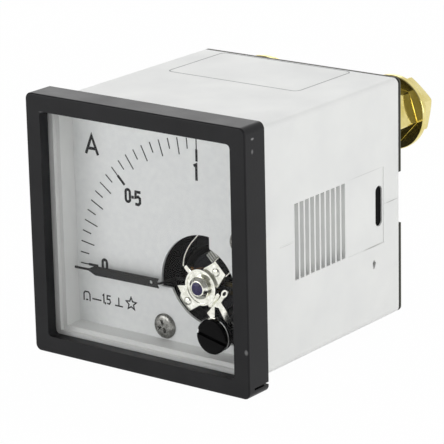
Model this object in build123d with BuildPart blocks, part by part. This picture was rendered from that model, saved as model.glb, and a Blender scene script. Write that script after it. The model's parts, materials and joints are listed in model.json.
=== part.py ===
from build123d import *
import math
import os

# Analog panel meter for a 45 mm panel cut-out, in millimetres.
# X is to the right seen from the front, Y runs back into the panel and Z is up.
# The origin is the centre of the bezel's back face, which lies against the panel.

# Bezel, window and case
bezel_size = 48.0
bezel_depth = 5.6
bezel_corner = 1.2
bezel_edge_round = 0.3
opening_size = 41.7
opening_corner = 0.8
lip_depth = 2.2
tool_slot_width = 0.4
tool_slot_length = 4.1
tool_slot_depth = 1.0
tool_slot_z = -22.4
window_thickness = 1.5
window_inset = 0.1
case_size = 44.4
case_corner = 1.1
case_clearance = 0.15
case_length = 45.3
case_wall = 1.6
rim_opening = 40.9
rim_depth = 0.8
collar_opening = 39.2
collar_depth = 3.7

# Features on both sides of the case
vent_count = 10
vent_pitch = 1.584
vent_width = 1.15
vent_height = 13.9
vent_depth = 1.1
vent_start_y = 10.8
vent_z = -0.25
vent_port_height = 1.2
recess_length = 11.5
recess_height = 14.2
recess_depth = 0.1
recess_y = 32.75
clamp_slot_length = 7.6
clamp_slot_width = 2.1
clamp_slot_y = 37.05
clamp_slot_z = -0.2
pin_hole_length = 1.4
pin_hole_width = 0.5
pin_hole_y = 35.5
pin_hole_z = -11.0
pin_hole_tilt = 65.0
seam_width = 0.2
seam_height = 0.06
seam_spans = [(6.4, 10.4), (38.8, 43.2)]

# Back plate and terminals
plate_thickness = 1.3
plate_bevel = 0.5
spigot_depth = 2.0
spigot_clearance = 0.15
notch_depth = 1.3
notch_height = 9.73
notch_z = -0.19
terminal_x = 14.7
terminal_z = 12.9
terminal_flats = 10.0
pillar_length = 7.8
pillar_turn = -12.0
thread_radius = 3.0
thread_clearance = 0.05
pillar_bore_depth = 6.0
washer_radius = 7.05
washer_thickness = 1.2
screw_head_length = 4.5
screw_head_turn = 20.0
screw_shank_length = 6.2
head_bevel = 0.6
inner_nut_thickness = 2.4
tag_thickness = 0.5
tag_radius = 4.6
tag_width = 4.0
tag_length = 11.0
stud_spare = 0.6
shunt_height = 4.0
shunt_thickness = 0.5
plate_screw_places = [(-17.0, -17.0), (17.0, -17.0), (0.0, 18.0)]
plate_screw_radius = 1.0
plate_screw_head = 1.9
plate_screw_length = 9.0

# Dial and its printing
dial_size = 41.0
dial_corner = 0.6
dial_thickness = 0.5
print_thickness = 0.03
dial_screw_places = [(0.08, -17.1), (17.2, 1.1)]
dial_screw_head = 2.3
dial_screw_height = 0.6
dial_screw_radius = 1.0
dial_screw_length = 3.6
cross_width = 0.5
cross_length = 2.4
cross_depth = 0.4
scale_outer = 26.9
scale_steps = 20
scale_angle = 90.0
short_mark = 1.9
long_mark = 2.95
main_mark = 4.0
thin_line = 0.16
thick_line = 0.42
figure_line = 0.36
symbol_line = 0.17

# Hole in the dial over the movement
pivot_x = 8.0
pivot_z = -8.6
upper_arc_x = 9.2
upper_arc_radius = 9.69
lower_arc_x = 10.3
lower_arc_z = -6.1
lower_arc_radius = 9.2
right_arc_radius = 7.8
hole_top_right_x = 10.3
screw_cutout_radius = 3.2

# Zero adjusting screw and the arm that it moves
zero_x = 14.75
zero_z = -14.75
zero_head_radius = 3.1
zero_head_height = 0.9
zero_head_sink = 0.3
zero_slot_width = 0.9
zero_slot_depth = 0.5
zero_slot_turn = -12.6
zero_shank_radius = 1.9
zero_neck_radius = 1.4
running_clearance = 0.05
retainer_radius = 3.0
retainer_thickness = 0.75
zero_neck_spare = 0.9
crank_offset = 0.6
crank_radius = 0.62
crank_clearance = 0.08
crank_length = 2.3
arm_thickness = 0.3
arm_ring_radius = 3.3
arm_rim_width = 0.35
arm_joggle = 1.25
lug_inner = 3.9
lug_outer = 4.5
lug_width = 0.8

# Movement, along its pivot axis
bridge_gap = 0.1
bridge_thickness = 0.7
bridge_end = 5.9
bridge_waist = 3.0
bridge_wide = 2.1
bridge_narrow = 1.5
post_place = 4.5
post_radius = 0.75
rivet_radius = 0.55
rivet_height = 0.25
rivet_depth = 1.5
jewel_screw_radius = 1.2
jewel_screw_neck = 1.6
jewel_dome_radius = 2.05
jewel_dome_height = 1.05
seal_radius = 1.17
seal_depth = 0.35
jewel_radius = 0.6
jewel_depth = 0.5
jewel_cup_radius = 0.3
jewel_cup_depth = 0.3
stalk_gap = 0.9
stalk_thickness = 0.15
spring_height = 0.4
spring_gap = 0.15
spring_inner = 1.0
spring_turns = 4
spring_pitch = 0.55
spring_strip = 0.12
core_radius = 5.2
core_length = 8.0
core_gap = 0.25
former_thickness = 0.3
former_width = 1.6
winding_thickness = 0.5
winding_width = 1.3
coil_front_gap = 1.2
yoke_inner = 6.7
yoke_outer = 8.6
spindle_radius = 0.5
spindle_foot_radius = 1.2
spindle_foot = 0.25
collet_radius = 0.85
pivot_radius = 0.14
boss_radius = 1.05
boss_height = 0.7
rear_space = 2.15
rear_bridge_thickness = 0.8
spacer_place = 7.65
spacer_radius = 0.8

# Pointer, measured outwards from the pivot
pointer_rest = 180.6
pointer_tip = 26.77
pointer_lift = 4.15
pointer_tip_width = 0.4
pointer_width = 1.75
pointer_flare_end = 23.6
pointer_flare_start = 22.1
blade_start = 7.6
stalk_width = 0.4
leg_inner = 6.9
blade_hole_place = 9.35
blade_hole_radius = 0.33
tail_length = 5.9
tail_width = 0.6
side_arm_length = 3.2
weight_radius = 1.25
side_weight_radius = 0.4
weight_length = 0.95

# Carrier of the movement
carrier_gap = 2.5
carrier_size = 40.0
carrier_corner = 2.0
carrier_post_radius = 2.2
tube_clearance = 0.05
tube_outer = 10.0
tube_end = 0.8
leg_radius = 2.4
block_start = 6.0
block_end = 7.5
block_left = 1.4
block_right = -1.7
clip_start = 5.1
clip_end = 6.9
clip_low = 1.75
clip_high = 3.45
clip_ribs = 5
clip_depth = 0.9

# Leads
lead_radius = 0.14
lead_hole_x = 6.8
lead_hole_z = 3.2
lead_hole_radius = 0.3
resistor_lead_radius = 0.25
resistor_radius = 1.2
resistor_length = 6.5

# Depths along Y that follow from the sizes
bezel_front = -bezel_depth
window_front = bezel_front + lip_depth
window_back = window_front + window_thickness
case_back = window_back + case_length
rim_back = window_back + rim_depth
dial_front = rim_back + collar_depth
dial_back = dial_front + dial_thickness
plate_back = case_back + plate_thickness
spigot_front = case_back - spigot_depth
pillar_back = plate_back + pillar_length
washer_back = pillar_back + washer_thickness
terminal_back = washer_back + screw_head_length
tag_front = spigot_front - tag_thickness
inner_nut_front = tag_front - inner_nut_thickness
shunt_front = tag_front - shunt_thickness
bridge_front = dial_back + bridge_gap
bridge_back = bridge_front + bridge_thickness
arm_ring_back = bridge_front - running_clearance
arm_ring_front = arm_ring_back - arm_thickness
dome_back = arm_ring_front - running_clearance
dome_front = dome_back - jewel_dome_height
fork_front = arm_ring_front - arm_joggle
fork_back = fork_front + arm_thickness
spring_front = bridge_back + spring_gap
spring_back = spring_front + spring_height
stalk_front = bridge_back + stalk_gap
stalk_back = stalk_front + stalk_thickness
winding_front = stalk_back + coil_front_gap
former_front = winding_front + winding_thickness
core_front = former_front + former_thickness + core_gap
core_back = core_front + core_length
former_back = core_back + core_gap + former_thickness
winding_back = former_back + winding_thickness
rear_bridge_front = winding_back + rear_space
rear_bridge_back = rear_bridge_front + rear_bridge_thickness
carrier_front = dial_back + carrier_gap
carrier_back = core_front
tube_back = core_back + tube_end
head_back = window_front + zero_head_sink - running_clearance
head_front = head_back - zero_head_height
retainer_front = window_back + running_clearance
retainer_back = retainer_front + retainer_thickness
neck_back = retainer_back + zero_neck_spare
crank_back = neck_back + crank_length
blade_front = stalk_front - pointer_lift
blade_back = blade_front + stalk_thickness

# Sizes across the axis that follow
pocket_size = case_size + 2 * case_clearance
pocket_corner = case_corner + case_clearance
window_size = case_size - 2 * window_inset
hollow_size = case_size - 2 * case_wall
spigot_size = hollow_size - 2 * spigot_clearance
former_inner = core_radius + core_gap
former_outer = former_inner + former_thickness
winding_outer = former_outer + winding_thickness
arm_bore = jewel_screw_neck + running_clearance
fork_gap = crank_radius + crank_clearance
zero_reach = math.hypot(zero_x - pivot_x, zero_z - pivot_z)
zero_turn = math.degrees(math.atan2(zero_z - pivot_z, zero_x - pivot_x))
spring_outer = spring_inner + spring_turns * spring_pitch
bridge_turn = 45.0
lug_turn = 135.0


def facing(y, x=0.0, z=0.0, turn=0.0):
    """Plane at depth y that faces the front, with its local x turned from X towards Z."""
    angle = math.radians(turn)
    return Plane(origin=(x, y, z), x_dir=(math.cos(angle), 0, math.sin(angle)), z_dir=(0, -1, 0))


def at_pivot(y, turn=0.0):
    """Plane at depth y that faces the front, centred on the movement's pivot."""
    return facing(y, pivot_x, pivot_z, turn)


def side_plane(side, y, z):
    """Plane on one side of the case, facing outwards, with local y upwards."""
    return Plane(origin=(side * case_size / 2, y, z), x_dir=(0, side, 0), z_dir=(side, 0, 0))


def turned(points, x, z):
    """Half section for a revolve, from (radius, depth) points, about a line along Y."""
    with BuildSketch(Plane(origin=(x, 0, z), x_dir=(1, 0, 0), z_dir=(0, 0, 1))) as section:
        with BuildLine():
            Polyline(*points, close=True)
        make_face()
    return section.sketch


def depth_axis(x, z):
    return Axis((x, 0, z), (0, 1, 0))


def finish(part, name):
    part.label = name
    export_step(part, f"parts/{name}.step")


os.makedirs("parts", exist_ok=True)

# Bezel
with BuildPart() as front_bezel:
    with BuildSketch(facing(0)):
        RectangleRounded(bezel_size, bezel_size, bezel_corner)
    extrude(amount=bezel_depth)
    front_edges = front_bezel.faces().sort_by(Axis.Y)[0].edges()
    fillet(front_edges, bezel_edge_round)
    with BuildSketch(facing(0)):
        RectangleRounded(pocket_size, pocket_size, pocket_corner)
    extrude(amount=-window_front, mode=Mode.SUBTRACT)
    with BuildSketch(facing(0)):
        RectangleRounded(opening_size, opening_size, opening_corner)
    extrude(amount=bezel_depth, mode=Mode.SUBTRACT)
    with Locations((bezel_size / 2, 0, tool_slot_z)):
        Box(2 * tool_slot_depth, 2 * tool_slot_length, tool_slot_width, mode=Mode.SUBTRACT)
finish(front_bezel.part, "front_bezel")

# Window, with a sunk seat for the adjusting screw
with BuildPart() as front_window:
    with BuildSketch(facing(window_back)):
        RectangleRounded(window_size, window_size, case_corner)
    extrude(amount=window_thickness)
    with Locations(facing(window_front, zero_x, zero_z)):
        CounterBoreHole(
            radius=zero_shank_radius + running_clearance,
            counter_bore_radius=zero_head_radius + 4 * running_clearance,
            counter_bore_depth=zero_head_sink,
        )
finish(front_window.part, "front_window")

# Zero adjusting screw: slotted head, shank in the window, neck for the retainer, crank pin
zero_crank = (
    zero_x - crank_offset * math.cos(math.radians(zero_turn)),
    zero_z - crank_offset * math.sin(math.radians(zero_turn)),
)
with BuildPart() as zero_adjust_screw:
    revolve(
        turned(
            [
                (0, head_front),
                (zero_head_radius, head_front),
                (zero_head_radius, head_back),
                (zero_shank_radius, head_back),
                (zero_shank_radius, retainer_front),
                (zero_neck_radius, retainer_front),
                (zero_neck_radius, neck_back),
                (0, neck_back),
            ],
            zero_x,
            zero_z,
        ),
        axis=depth_axis(zero_x, zero_z),
    )
    rim = zero_adjust_screw.edges().filter_by(GeomType.CIRCLE).sort_by(Axis.Y)[0]
    chamfer(rim, zero_head_height / 6)
    with BuildSketch(facing(head_front, zero_x, zero_z, zero_slot_turn)):
        Rectangle(2 * zero_head_radius + 1, zero_slot_width)
    extrude(amount=-zero_slot_depth, mode=Mode.SUBTRACT)
    with BuildSketch(facing(crank_back, *zero_crank)):
        Circle(crank_radius)
    extrude(amount=crank_length)
finish(zero_adjust_screw.part, "zero_adjust_screw")

with BuildPart() as zero_screw_retainer:
    with BuildSketch(facing(retainer_back, zero_x, zero_z)):
        Circle(retainer_radius)
        Circle(zero_neck_radius, mode=Mode.SUBTRACT)
    extrude(amount=retainer_thickness)
finish(zero_screw_retainer.part, "zero_screw_retainer")

# Case: a square tube with a rim under the window and a collar in front of the dial
vent_span = (vent_count - 1) * vent_pitch
vent_middle_y = vent_start_y + (vent_span + vent_width) / 2
with BuildPart() as case_shell:
    with BuildSketch(facing(case_back)):
        RectangleRounded(case_size, case_size, case_corner)
    extrude(amount=case_length)
    with BuildSketch(facing(case_back)):
        Rectangle(hollow_size, hollow_size)
    extrude(amount=case_back - dial_front, mode=Mode.SUBTRACT)
    with BuildSketch(facing(dial_front)):
        Rectangle(collar_opening, collar_opening)
    extrude(amount=dial_front - rim_back, mode=Mode.SUBTRACT)
    with BuildSketch(facing(rim_back)):
        Rectangle(rim_opening, rim_opening)
    extrude(amount=rim_depth, mode=Mode.SUBTRACT)
    for side in (-1, 1):
        with BuildSketch(side_plane(side, vent_middle_y, vent_z)):
            with GridLocations(vent_pitch, 0, vent_count, 1):
                Rectangle(vent_width, vent_height)
        extrude(amount=-vent_depth, mode=Mode.SUBTRACT)
        port_z = vent_z - (vent_height - vent_port_height) / 2
        with BuildSketch(side_plane(side, vent_middle_y, port_z)):
            with GridLocations(vent_pitch, 0, vent_count, 1):
                Rectangle(vent_width, vent_port_height)
        extrude(amount=-2 * case_wall, mode=Mode.SUBTRACT)
        with BuildSketch(side_plane(side, recess_y, vent_z)):
            Rectangle(recess_length, recess_height)
        extrude(amount=-recess_depth, mode=Mode.SUBTRACT)
        with BuildSketch(side_plane(side, clamp_slot_y, clamp_slot_z)):
            SlotOverall(clamp_slot_length, clamp_slot_width, rotation=90)
        extrude(amount=-2 * case_wall, mode=Mode.SUBTRACT)
        with BuildSketch(side_plane(side, pin_hole_y, pin_hole_z)):
            SlotOverall(pin_hole_length, pin_hole_width, rotation=pin_hole_tilt)
        extrude(amount=-case_wall / 2, mode=Mode.SUBTRACT)
        for span_start, span_end in seam_spans:
            with BuildSketch(side_plane(side, (span_start + span_end) / 2, 0)):
                Rectangle(span_end - span_start, seam_width)
            extrude(amount=seam_height)
finish(case_shell.part, "case_shell")

# Back plate, with a spigot in the case
with BuildPart() as back_plate:
    with BuildSketch(facing(plate_back)):
        RectangleRounded(case_size, case_size, case_corner)
        for side in (-1, 1):
            with Locations((side * case_size / 2, notch_z)):
                Rectangle(2 * notch_depth, notch_height, mode=Mode.SUBTRACT)
    extrude(amount=plate_thickness)
    chamfer(back_plate.faces().sort_by(Axis.Y)[-1].edges(), plate_bevel)
    with BuildSketch(facing(case_back)):
        Rectangle(spigot_size, spigot_size)
    extrude(amount=spigot_depth)
    with Locations(facing(spigot_front)):
        with Locations((-terminal_x, terminal_z), (terminal_x, terminal_z)):
            Hole(thread_radius + thread_clearance)
        with Locations(*plate_screw_places):
            Hole(plate_screw_radius + thread_clearance)
finish(back_plate.part, "back_plate")

with BuildPart() as plate_screws:
    for screw_x, screw_z in plate_screw_places:
        revolve(
            turned(
                [
                    (0, plate_back - plate_screw_length),
                    (plate_screw_radius, plate_back - plate_screw_length),
                    (plate_screw_radius, plate_back),
                    (plate_screw_head, plate_back),
                    (plate_screw_head, plate_back + plate_screw_radius * 0.6),
                    (plate_screw_head * 0.7, plate_back + plate_screw_radius),
                    (0, plate_back + plate_screw_radius),
                ],
                screw_x,
                screw_z,
            ),
            axis=depth_axis(screw_x, screw_z),
        )
        with BuildSketch(facing(plate_back + plate_screw_radius, screw_x, screw_z)):
            Rectangle(cross_length, cross_width)
            Rectangle(cross_width, cross_length)
        extrude(amount=cross_depth, mode=Mode.SUBTRACT)
finish(plate_screws.part, "plate_screws")

# Terminals, one on each side
for side, side_name in ((-1, "left"), (1, "right")):
    x = side * terminal_x
    with BuildPart() as terminal_pillar:
        with BuildSketch(facing(pillar_back, x, terminal_z)):
            RegularPolygon(terminal_flats / 2, 6, major_radius=False, rotation=side * pillar_turn)
        extrude(amount=pillar_length)
        with BuildSketch(facing(plate_back, x, terminal_z)):
            Circle(thread_radius)
        extrude(amount=plate_back - inner_nut_front + stud_spare)
        with BuildSketch(facing(pillar_back, x, terminal_z)):
            Circle(thread_radius)
        extrude(amount=pillar_bore_depth, mode=Mode.SUBTRACT)
    finish(terminal_pillar.part, f"terminal_pillar_{side_name}")

    with BuildPart() as terminal_washer:
        with BuildSketch(facing(washer_back, x, terminal_z)):
            Circle(washer_radius)
            Circle(thread_radius + 2 * thread_clearance, mode=Mode.SUBTRACT)
        extrude(amount=washer_thickness)
    finish(terminal_washer.part, f"terminal_washer_{side_name}")

    with BuildPart() as terminal_screw:
        with BuildSketch(facing(terminal_back, x, terminal_z)):
            RegularPolygon(terminal_flats / 2, 6, major_radius=False, rotation=side * screw_head_turn)
        extrude(amount=screw_head_length)
        with BuildPart(mode=Mode.INTERSECT):
            revolve(
                turned(
                    [
                        (0, washer_back),
                        (terminal_flats, washer_back),
                        (terminal_flats / 2 + head_bevel, terminal_back - head_bevel / 2),
                        (terminal_flats / 2 - head_bevel / 2, terminal_back),
                        (0, terminal_back),
                    ],
                    x,
                    terminal_z,
                ),
                axis=depth_axis(x, terminal_z),
            )
        with BuildSketch(facing(washer_back, x, terminal_z)):
            Circle(thread_radius - thread_clearance)
        extrude(amount=screw_shank_length)
    finish(terminal_screw.part, f"terminal_screw_{side_name}")

    with BuildPart() as terminal_inner_nut:
        with BuildSketch(facing(tag_front, x, terminal_z)):
            RegularPolygon(terminal_flats / 2, 6, major_radius=False)
            Circle(thread_radius + thread_clearance, mode=Mode.SUBTRACT)
        extrude(amount=inner_nut_thickness)
    finish(terminal_inner_nut.part, f"terminal_inner_nut_{side_name}")

    with BuildPart() as solder_tag:
        with BuildSketch(facing(spigot_front, x, terminal_z)):
            Circle(tag_radius)
            with Locations((0, -tag_length / 2)):
                Rectangle(tag_width, tag_length)
            Circle(thread_radius + thread_clearance, mode=Mode.SUBTRACT)
        extrude(amount=tag_thickness)
    finish(solder_tag.part, f"solder_tag_{side_name}")

shunt_z = terminal_z - terminal_flats / 2 - 0.6 - shunt_height / 2
with BuildPart() as shunt_strip:
    with BuildSketch(facing(tag_front, 0, shunt_z)):
        Rectangle(2 * terminal_x + tag_width, shunt_height)
    extrude(amount=shunt_thickness)
finish(shunt_strip.part, "shunt_strip")

# Dial plate with its hole over the movement
upper_start_x = upper_arc_x - upper_arc_radius
upper_end_z = pivot_z + math.sqrt(upper_arc_radius**2 - (hole_top_right_x - upper_arc_x) ** 2)
right_start_z = pivot_z + math.sqrt(right_arc_radius**2 - (hole_top_right_x - pivot_x) ** 2)
upper_top = (upper_arc_x - 1, pivot_z + math.sqrt(upper_arc_radius**2 - 1))
right_middle = (
    pivot_x + right_arc_radius * math.cos(math.radians(35)),
    pivot_z + right_arc_radius * math.sin(math.radians(35)),
)
step_z = pivot_z - 1.15
lower_start_x = lower_arc_x - math.sqrt(lower_arc_radius**2 - (step_z - lower_arc_z) ** 2)
lower_end_x = pivot_x - 0.4
lower_end_z = lower_arc_z - math.sqrt(lower_arc_radius**2 - (lower_end_x - lower_arc_x) ** 2)
lower_middle_x = lower_start_x + 1.7
lower_middle_z = lower_arc_z - math.sqrt(lower_arc_radius**2 - (lower_middle_x - lower_arc_x) ** 2)
with BuildPart() as dial_plate:
    with BuildSketch(facing(dial_back)):
        RectangleRounded(dial_size, dial_size, dial_corner)
        with BuildLine():
            Line((upper_start_x, step_z), (upper_start_x, pivot_z))
            ThreePointArc((upper_start_x, pivot_z), upper_top, (hole_top_right_x, upper_end_z))
            Line((hole_top_right_x, upper_end_z), (hole_top_right_x, right_start_z))
            ThreePointArc(
                (hole_top_right_x, right_start_z),
                right_middle,
                (pivot_x + right_arc_radius, pivot_z),
            )
            Line((pivot_x + right_arc_radius, pivot_z), (zero_x + screw_cutout_radius, zero_z))
            ThreePointArc(
                (zero_x + screw_cutout_radius, zero_z),
                (
                    zero_x + screw_cutout_radius * math.sqrt(0.5),
                    zero_z - screw_cutout_radius * math.sqrt(0.5),
                ),
                (zero_x, zero_z - screw_cutout_radius),
            )
            Line((zero_x, zero_z - screw_cutout_radius), (lower_end_x, lower_end_z))
            ThreePointArc(
                (lower_end_x, lower_end_z),
                (lower_middle_x, lower_middle_z),
                (lower_start_x, step_z),
            )
            Line((lower_start_x, step_z), (upper_start_x, step_z))
        make_face(mode=Mode.SUBTRACT)
        with Locations(*dial_screw_places):
            Circle(dial_screw_radius + thread_clearance, mode=Mode.SUBTRACT)
    extrude(amount=dial_thickness)
finish(dial_plate.part, "dial_plate")

with BuildPart() as dial_screws:
    for screw_x, screw_z in dial_screw_places:
        revolve(
            turned(
                [
                    (0, dial_front + dial_screw_length),
                    (dial_screw_radius, dial_front + dial_screw_length),
                    (dial_screw_radius, dial_front),
                    (dial_screw_head, dial_front),
                    (dial_screw_head, dial_front - dial_screw_height * 0.35),
                    (dial_screw_head * 0.82, dial_front - dial_screw_height * 0.85),
                    (dial_screw_head * 0.5, dial_front - dial_screw_height),
                    (0, dial_front - dial_screw_height),
                ],
                screw_x,
                screw_z,
            ),
            axis=depth_axis(screw_x, screw_z),
        )
        with BuildSketch(facing(dial_front - dial_screw_height, screw_x, screw_z, 20)):
            Rectangle(cross_length, cross_width)
            Rectangle(cross_width, cross_length)
        extrude(amount=-cross_depth, mode=Mode.SUBTRACT)
finish(dial_screws.part, "dial_screws")


# Printing on the dial
def mark(angle, outer, inner, width):
    """Scale line between two radii, at an angle up from the left."""
    with BuildSketch(at_pivot(dial_front, 180 - angle)) as line:
        with Locations(((outer + inner) / 2, 0)):
            Rectangle(outer - inner, width)
    return line.sketch


def digit_zero(x, z, width, height):
    with BuildSketch(facing(dial_front, x, z)) as ring:
        SlotOverall(height, width, rotation=90)
        SlotOverall(height - 2 * figure_line, width - 2 * figure_line, rotation=90, mode=Mode.SUBTRACT)
    return ring.sketch


def strokes(x, z, paths, width):
    """Lines of one width through lists of points."""
    with BuildSketch(facing(dial_front, x, z)) as drawn:
        for points in paths:
            with BuildLine():
                Polyline(*points)
            trace(line_width=width)
    return drawn.sketch


print_marks = []
for step in range(scale_steps + 1):
    turn = step * scale_angle / scale_steps
    length = long_mark if step % 2 == 0 else short_mark
    if step % (scale_steps // 2) == 0:
        length = short_mark
        print_marks.append(mark(turn, scale_outer - short_mark, scale_outer - main_mark, thick_line))
    print_marks.append(mark(turn, scale_outer, scale_outer - length, thin_line))
print_marks.append(digit_zero(-13.35, -8.45, 1.35, 2.95))
print_marks.append(digit_zero(-7.52, 5.75, 1.3, 2.6))
print_marks.append(strokes(-6.45, 5.6, [[(-0.2, 0), (0.2, 0)]], 0.4))
print_marks.append(
    strokes(
        -5.3,
        5.55,
        [[(0.6, 1.15), (-0.42, 1.15), (-0.5, 0.1), (0.1, 0.3), (0.5, 0.0), (0.5, -0.8), (0.15, -1.15), (-0.5, -1.1)]],
        figure_line,
    )
)
print_marks.append(strokes(7.95, 12.4, [[(-0.55, 1.05), (-0.05, 1.3), (-0.05, -1.5)]], figure_line))
print_marks.append(
    strokes(-15.4, 13.8, [[(-1.35, -1.6), (0, 1.75), (1.35, -1.6)], [(-0.95, -0.6), (0.95, -0.6)]], 0.4)
)
print_marks.append(
    strokes(
        -17.8,
        -14.75,
        [
            [(-0.7, -0.85), (-0.7, 0.4), (-0.4, 0.8), (0.4, 0.8), (0.7, 0.4), (0.7, -0.85)],
            [(-0.2, -0.7), (0.2, -0.7)],
        ],
        symbol_line,
    )
)
print_marks.append(strokes(-15.5, -15.05, [[(-1.0, 0), (1.0, 0)]], symbol_line))
print_marks.append(
    strokes(
        -13.1,
        -14.6,
        [
            [(-1.0, 0.6), (-0.75, 0.8), (-0.75, -0.8)],
            [(-0.4, -0.65), (-0.45, -0.95)],
            [(0.8, 0.75), (0.05, 0.75), (0.0, 0.05), (0.6, 0.1), (0.75, -0.4), (0.5, -0.8), (0.0, -0.7)],
        ],
        symbol_line,
    )
)
print_marks.append(
    strokes(-10.4, -14.6, [[(0, 0.8), (0, -0.8)], [(-0.85, -0.75), (0.85, -0.75)]], symbol_line)
)
star_points = [
    (
        1.2 * (1.0 if corner % 2 == 0 else 0.45) * math.sin(math.radians(36 * corner)),
        1.2 * (1.0 if corner % 2 == 0 else 0.45) * math.cos(math.radians(36 * corner)),
    )
    for corner in range(11)
]
print_marks.append(strokes(-7.55, -14.4, [star_points], symbol_line))
with BuildPart() as dial_markings:
    for printed in print_marks:
        extrude(printed, amount=print_thickness)
finish(dial_markings.part, "dial_markings")

# Carrier: plate behind the dial, tube around the yoke, legs to the back plate
with BuildPart() as movement_frame:
    with BuildSketch(facing(carrier_back)):
        RectangleRounded(carrier_size, carrier_size, carrier_corner)
    extrude(amount=carrier_back - carrier_front)
    with BuildSketch(facing(carrier_front)):
        with Locations(*dial_screw_places):
            Circle(carrier_post_radius)
    extrude(amount=carrier_front - dial_back)
    with BuildSketch(at_pivot(tube_back)):
        Circle(tube_outer)
    extrude(amount=tube_back - carrier_back)
    with BuildSketch(at_pivot(tube_back)):
        Circle(yoke_outer + tube_clearance)
    extrude(amount=tube_back - carrier_back, mode=Mode.SUBTRACT)
    with BuildSketch(at_pivot(carrier_back)):
        Circle(yoke_inner)
    extrude(amount=carrier_back - carrier_front, mode=Mode.SUBTRACT)
    with BuildSketch(facing(carrier_back, lead_hole_x, lead_hole_z)):
        Circle(lead_hole_radius)
    extrude(amount=carrier_back - carrier_front, mode=Mode.SUBTRACT)
    with BuildSketch(facing(spigot_front)):
        with Locations(*plate_screw_places):
            Circle(leg_radius)
    extrude(amount=spigot_front - carrier_back)
    with BuildSketch(at_pivot(carrier_front, bridge_turn)):
        with Locations(((block_start + block_end) / 2, (block_left + block_right) / 2)):
            Rectangle(block_end - block_start, block_left - block_right)
    extrude(amount=carrier_front - bridge_front)
    with BuildSketch(at_pivot(carrier_front, bridge_turn)):
        with Locations(((clip_start + clip_end) / 2, (clip_low + clip_high) / 2)):
            Rectangle(clip_end - clip_start, clip_high - clip_low)
    extrude(amount=carrier_front - bridge_front - clip_depth)
    for screw_x, screw_z in dial_screw_places:
        with BuildSketch(facing(dial_front + dial_screw_length, screw_x, screw_z)):
            Circle(dial_screw_radius)
        extrude(amount=dial_screw_length, mode=Mode.SUBTRACT)
    for screw_x, screw_z in plate_screw_places:
        with BuildSketch(facing(spigot_front, screw_x, screw_z)):
            Circle(plate_screw_radius)
        extrude(amount=plate_screw_length - plate_thickness - spigot_depth, mode=Mode.SUBTRACT)
finish(movement_frame.part, "movement_frame")

# Iron circuit
with BuildPart() as yoke_ring:
    with BuildSketch(at_pivot(core_back)):
        Circle(yoke_outer)
        Circle(yoke_inner, mode=Mode.SUBTRACT)
    extrude(amount=core_length)
finish(yoke_ring.part, "yoke_ring")

with BuildPart() as core_magnet:
    with BuildSketch(at_pivot(core_back)):
        Circle(core_radius)
    extrude(amount=core_length)
    with BuildSketch(at_pivot(core_back, bridge_turn)):
        with GridLocations(2 * post_place, 0, 2, 1):
            Circle(rivet_radius)
    extrude(amount=core_length, mode=Mode.SUBTRACT)
finish(core_magnet.part, "core_magnet")

# Front bridge on its two posts
bridge_outline = [
    (bridge_end, bridge_narrow),
    (bridge_waist, bridge_wide),
    (-2.4, bridge_wide),
    (-2.93, 2.44),
    (-4.35, 3.43),
    (-4.67, 1.98),
    (-bridge_end + 0.25, bridge_narrow),
    (-bridge_end + 0.25, -bridge_narrow),
    (-bridge_waist, -bridge_wide),
    (bridge_waist, -bridge_wide),
    (bridge_end, -bridge_narrow),
]
with BuildPart() as front_bridge:
    with BuildSketch(at_pivot(bridge_back, bridge_turn)):
        with BuildLine():
            Polyline(*bridge_outline, close=True)
        make_face()
        Circle(jewel_screw_radius, mode=Mode.SUBTRACT)
        with GridLocations(2 * post_place, 0, 2, 1):
            Circle(rivet_radius, mode=Mode.SUBTRACT)
    extrude(amount=bridge_thickness)
finish(front_bridge.part, "front_bridge")


def post_points(front, back, tail_end, head_front):
    """Half section of a post with a riveted head in front and a tail in the core behind."""
    return [
        (0, head_front),
        (post_radius * 0.7, head_front),
        (post_radius, head_front + rivet_height * 0.6),
        (post_radius, head_front + rivet_height),
        (rivet_radius, head_front + rivet_height),
        (rivet_radius, front),
        (post_radius, front),
        (post_radius, back),
        (rivet_radius, back),
        (rivet_radius, tail_end),
        (0, tail_end),
    ]


post_step = post_place * math.sqrt(0.5)
with BuildPart() as front_posts:
    for end in (-1, 1):
        post_x = pivot_x + end * post_step
        post_z = pivot_z + end * post_step
        outline = post_points(bridge_back, core_front, core_front + rivet_depth, bridge_front - rivet_height)
        revolve(turned(outline, post_x, post_z), axis=depth_axis(post_x, post_z))
finish(front_posts.part, "front_posts")

# Rear bridge on posts from the core and spacers from the yoke
with BuildPart() as rear_bridge:
    with BuildSketch(at_pivot(rear_bridge_back, bridge_turn)):
        SlotOverall(2 * yoke_outer, 2 * bridge_wide)
        Circle(jewel_screw_radius, mode=Mode.SUBTRACT)
        with GridLocations(2 * post_place, 0, 2, 1):
            Circle(rivet_radius, mode=Mode.SUBTRACT)
    extrude(amount=rear_bridge_thickness)
    with BuildSketch(at_pivot(rear_bridge_front, lug_turn)):
        with Locations(((lug_inner + lug_outer) / 2, 0)):
            Rectangle(lug_outer - lug_inner, lug_width)
    extrude(amount=spring_gap + spring_height)
    with BuildSketch(at_pivot(rear_bridge_back, lug_turn)):
        with Locations((lug_outer / 2 + jewel_screw_radius / 2 + 0.2, 0)):
            Rectangle(lug_outer - jewel_screw_radius - 0.4, lug_width)
    extrude(amount=rear_bridge_thickness)
finish(rear_bridge.part, "rear_bridge")

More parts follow.
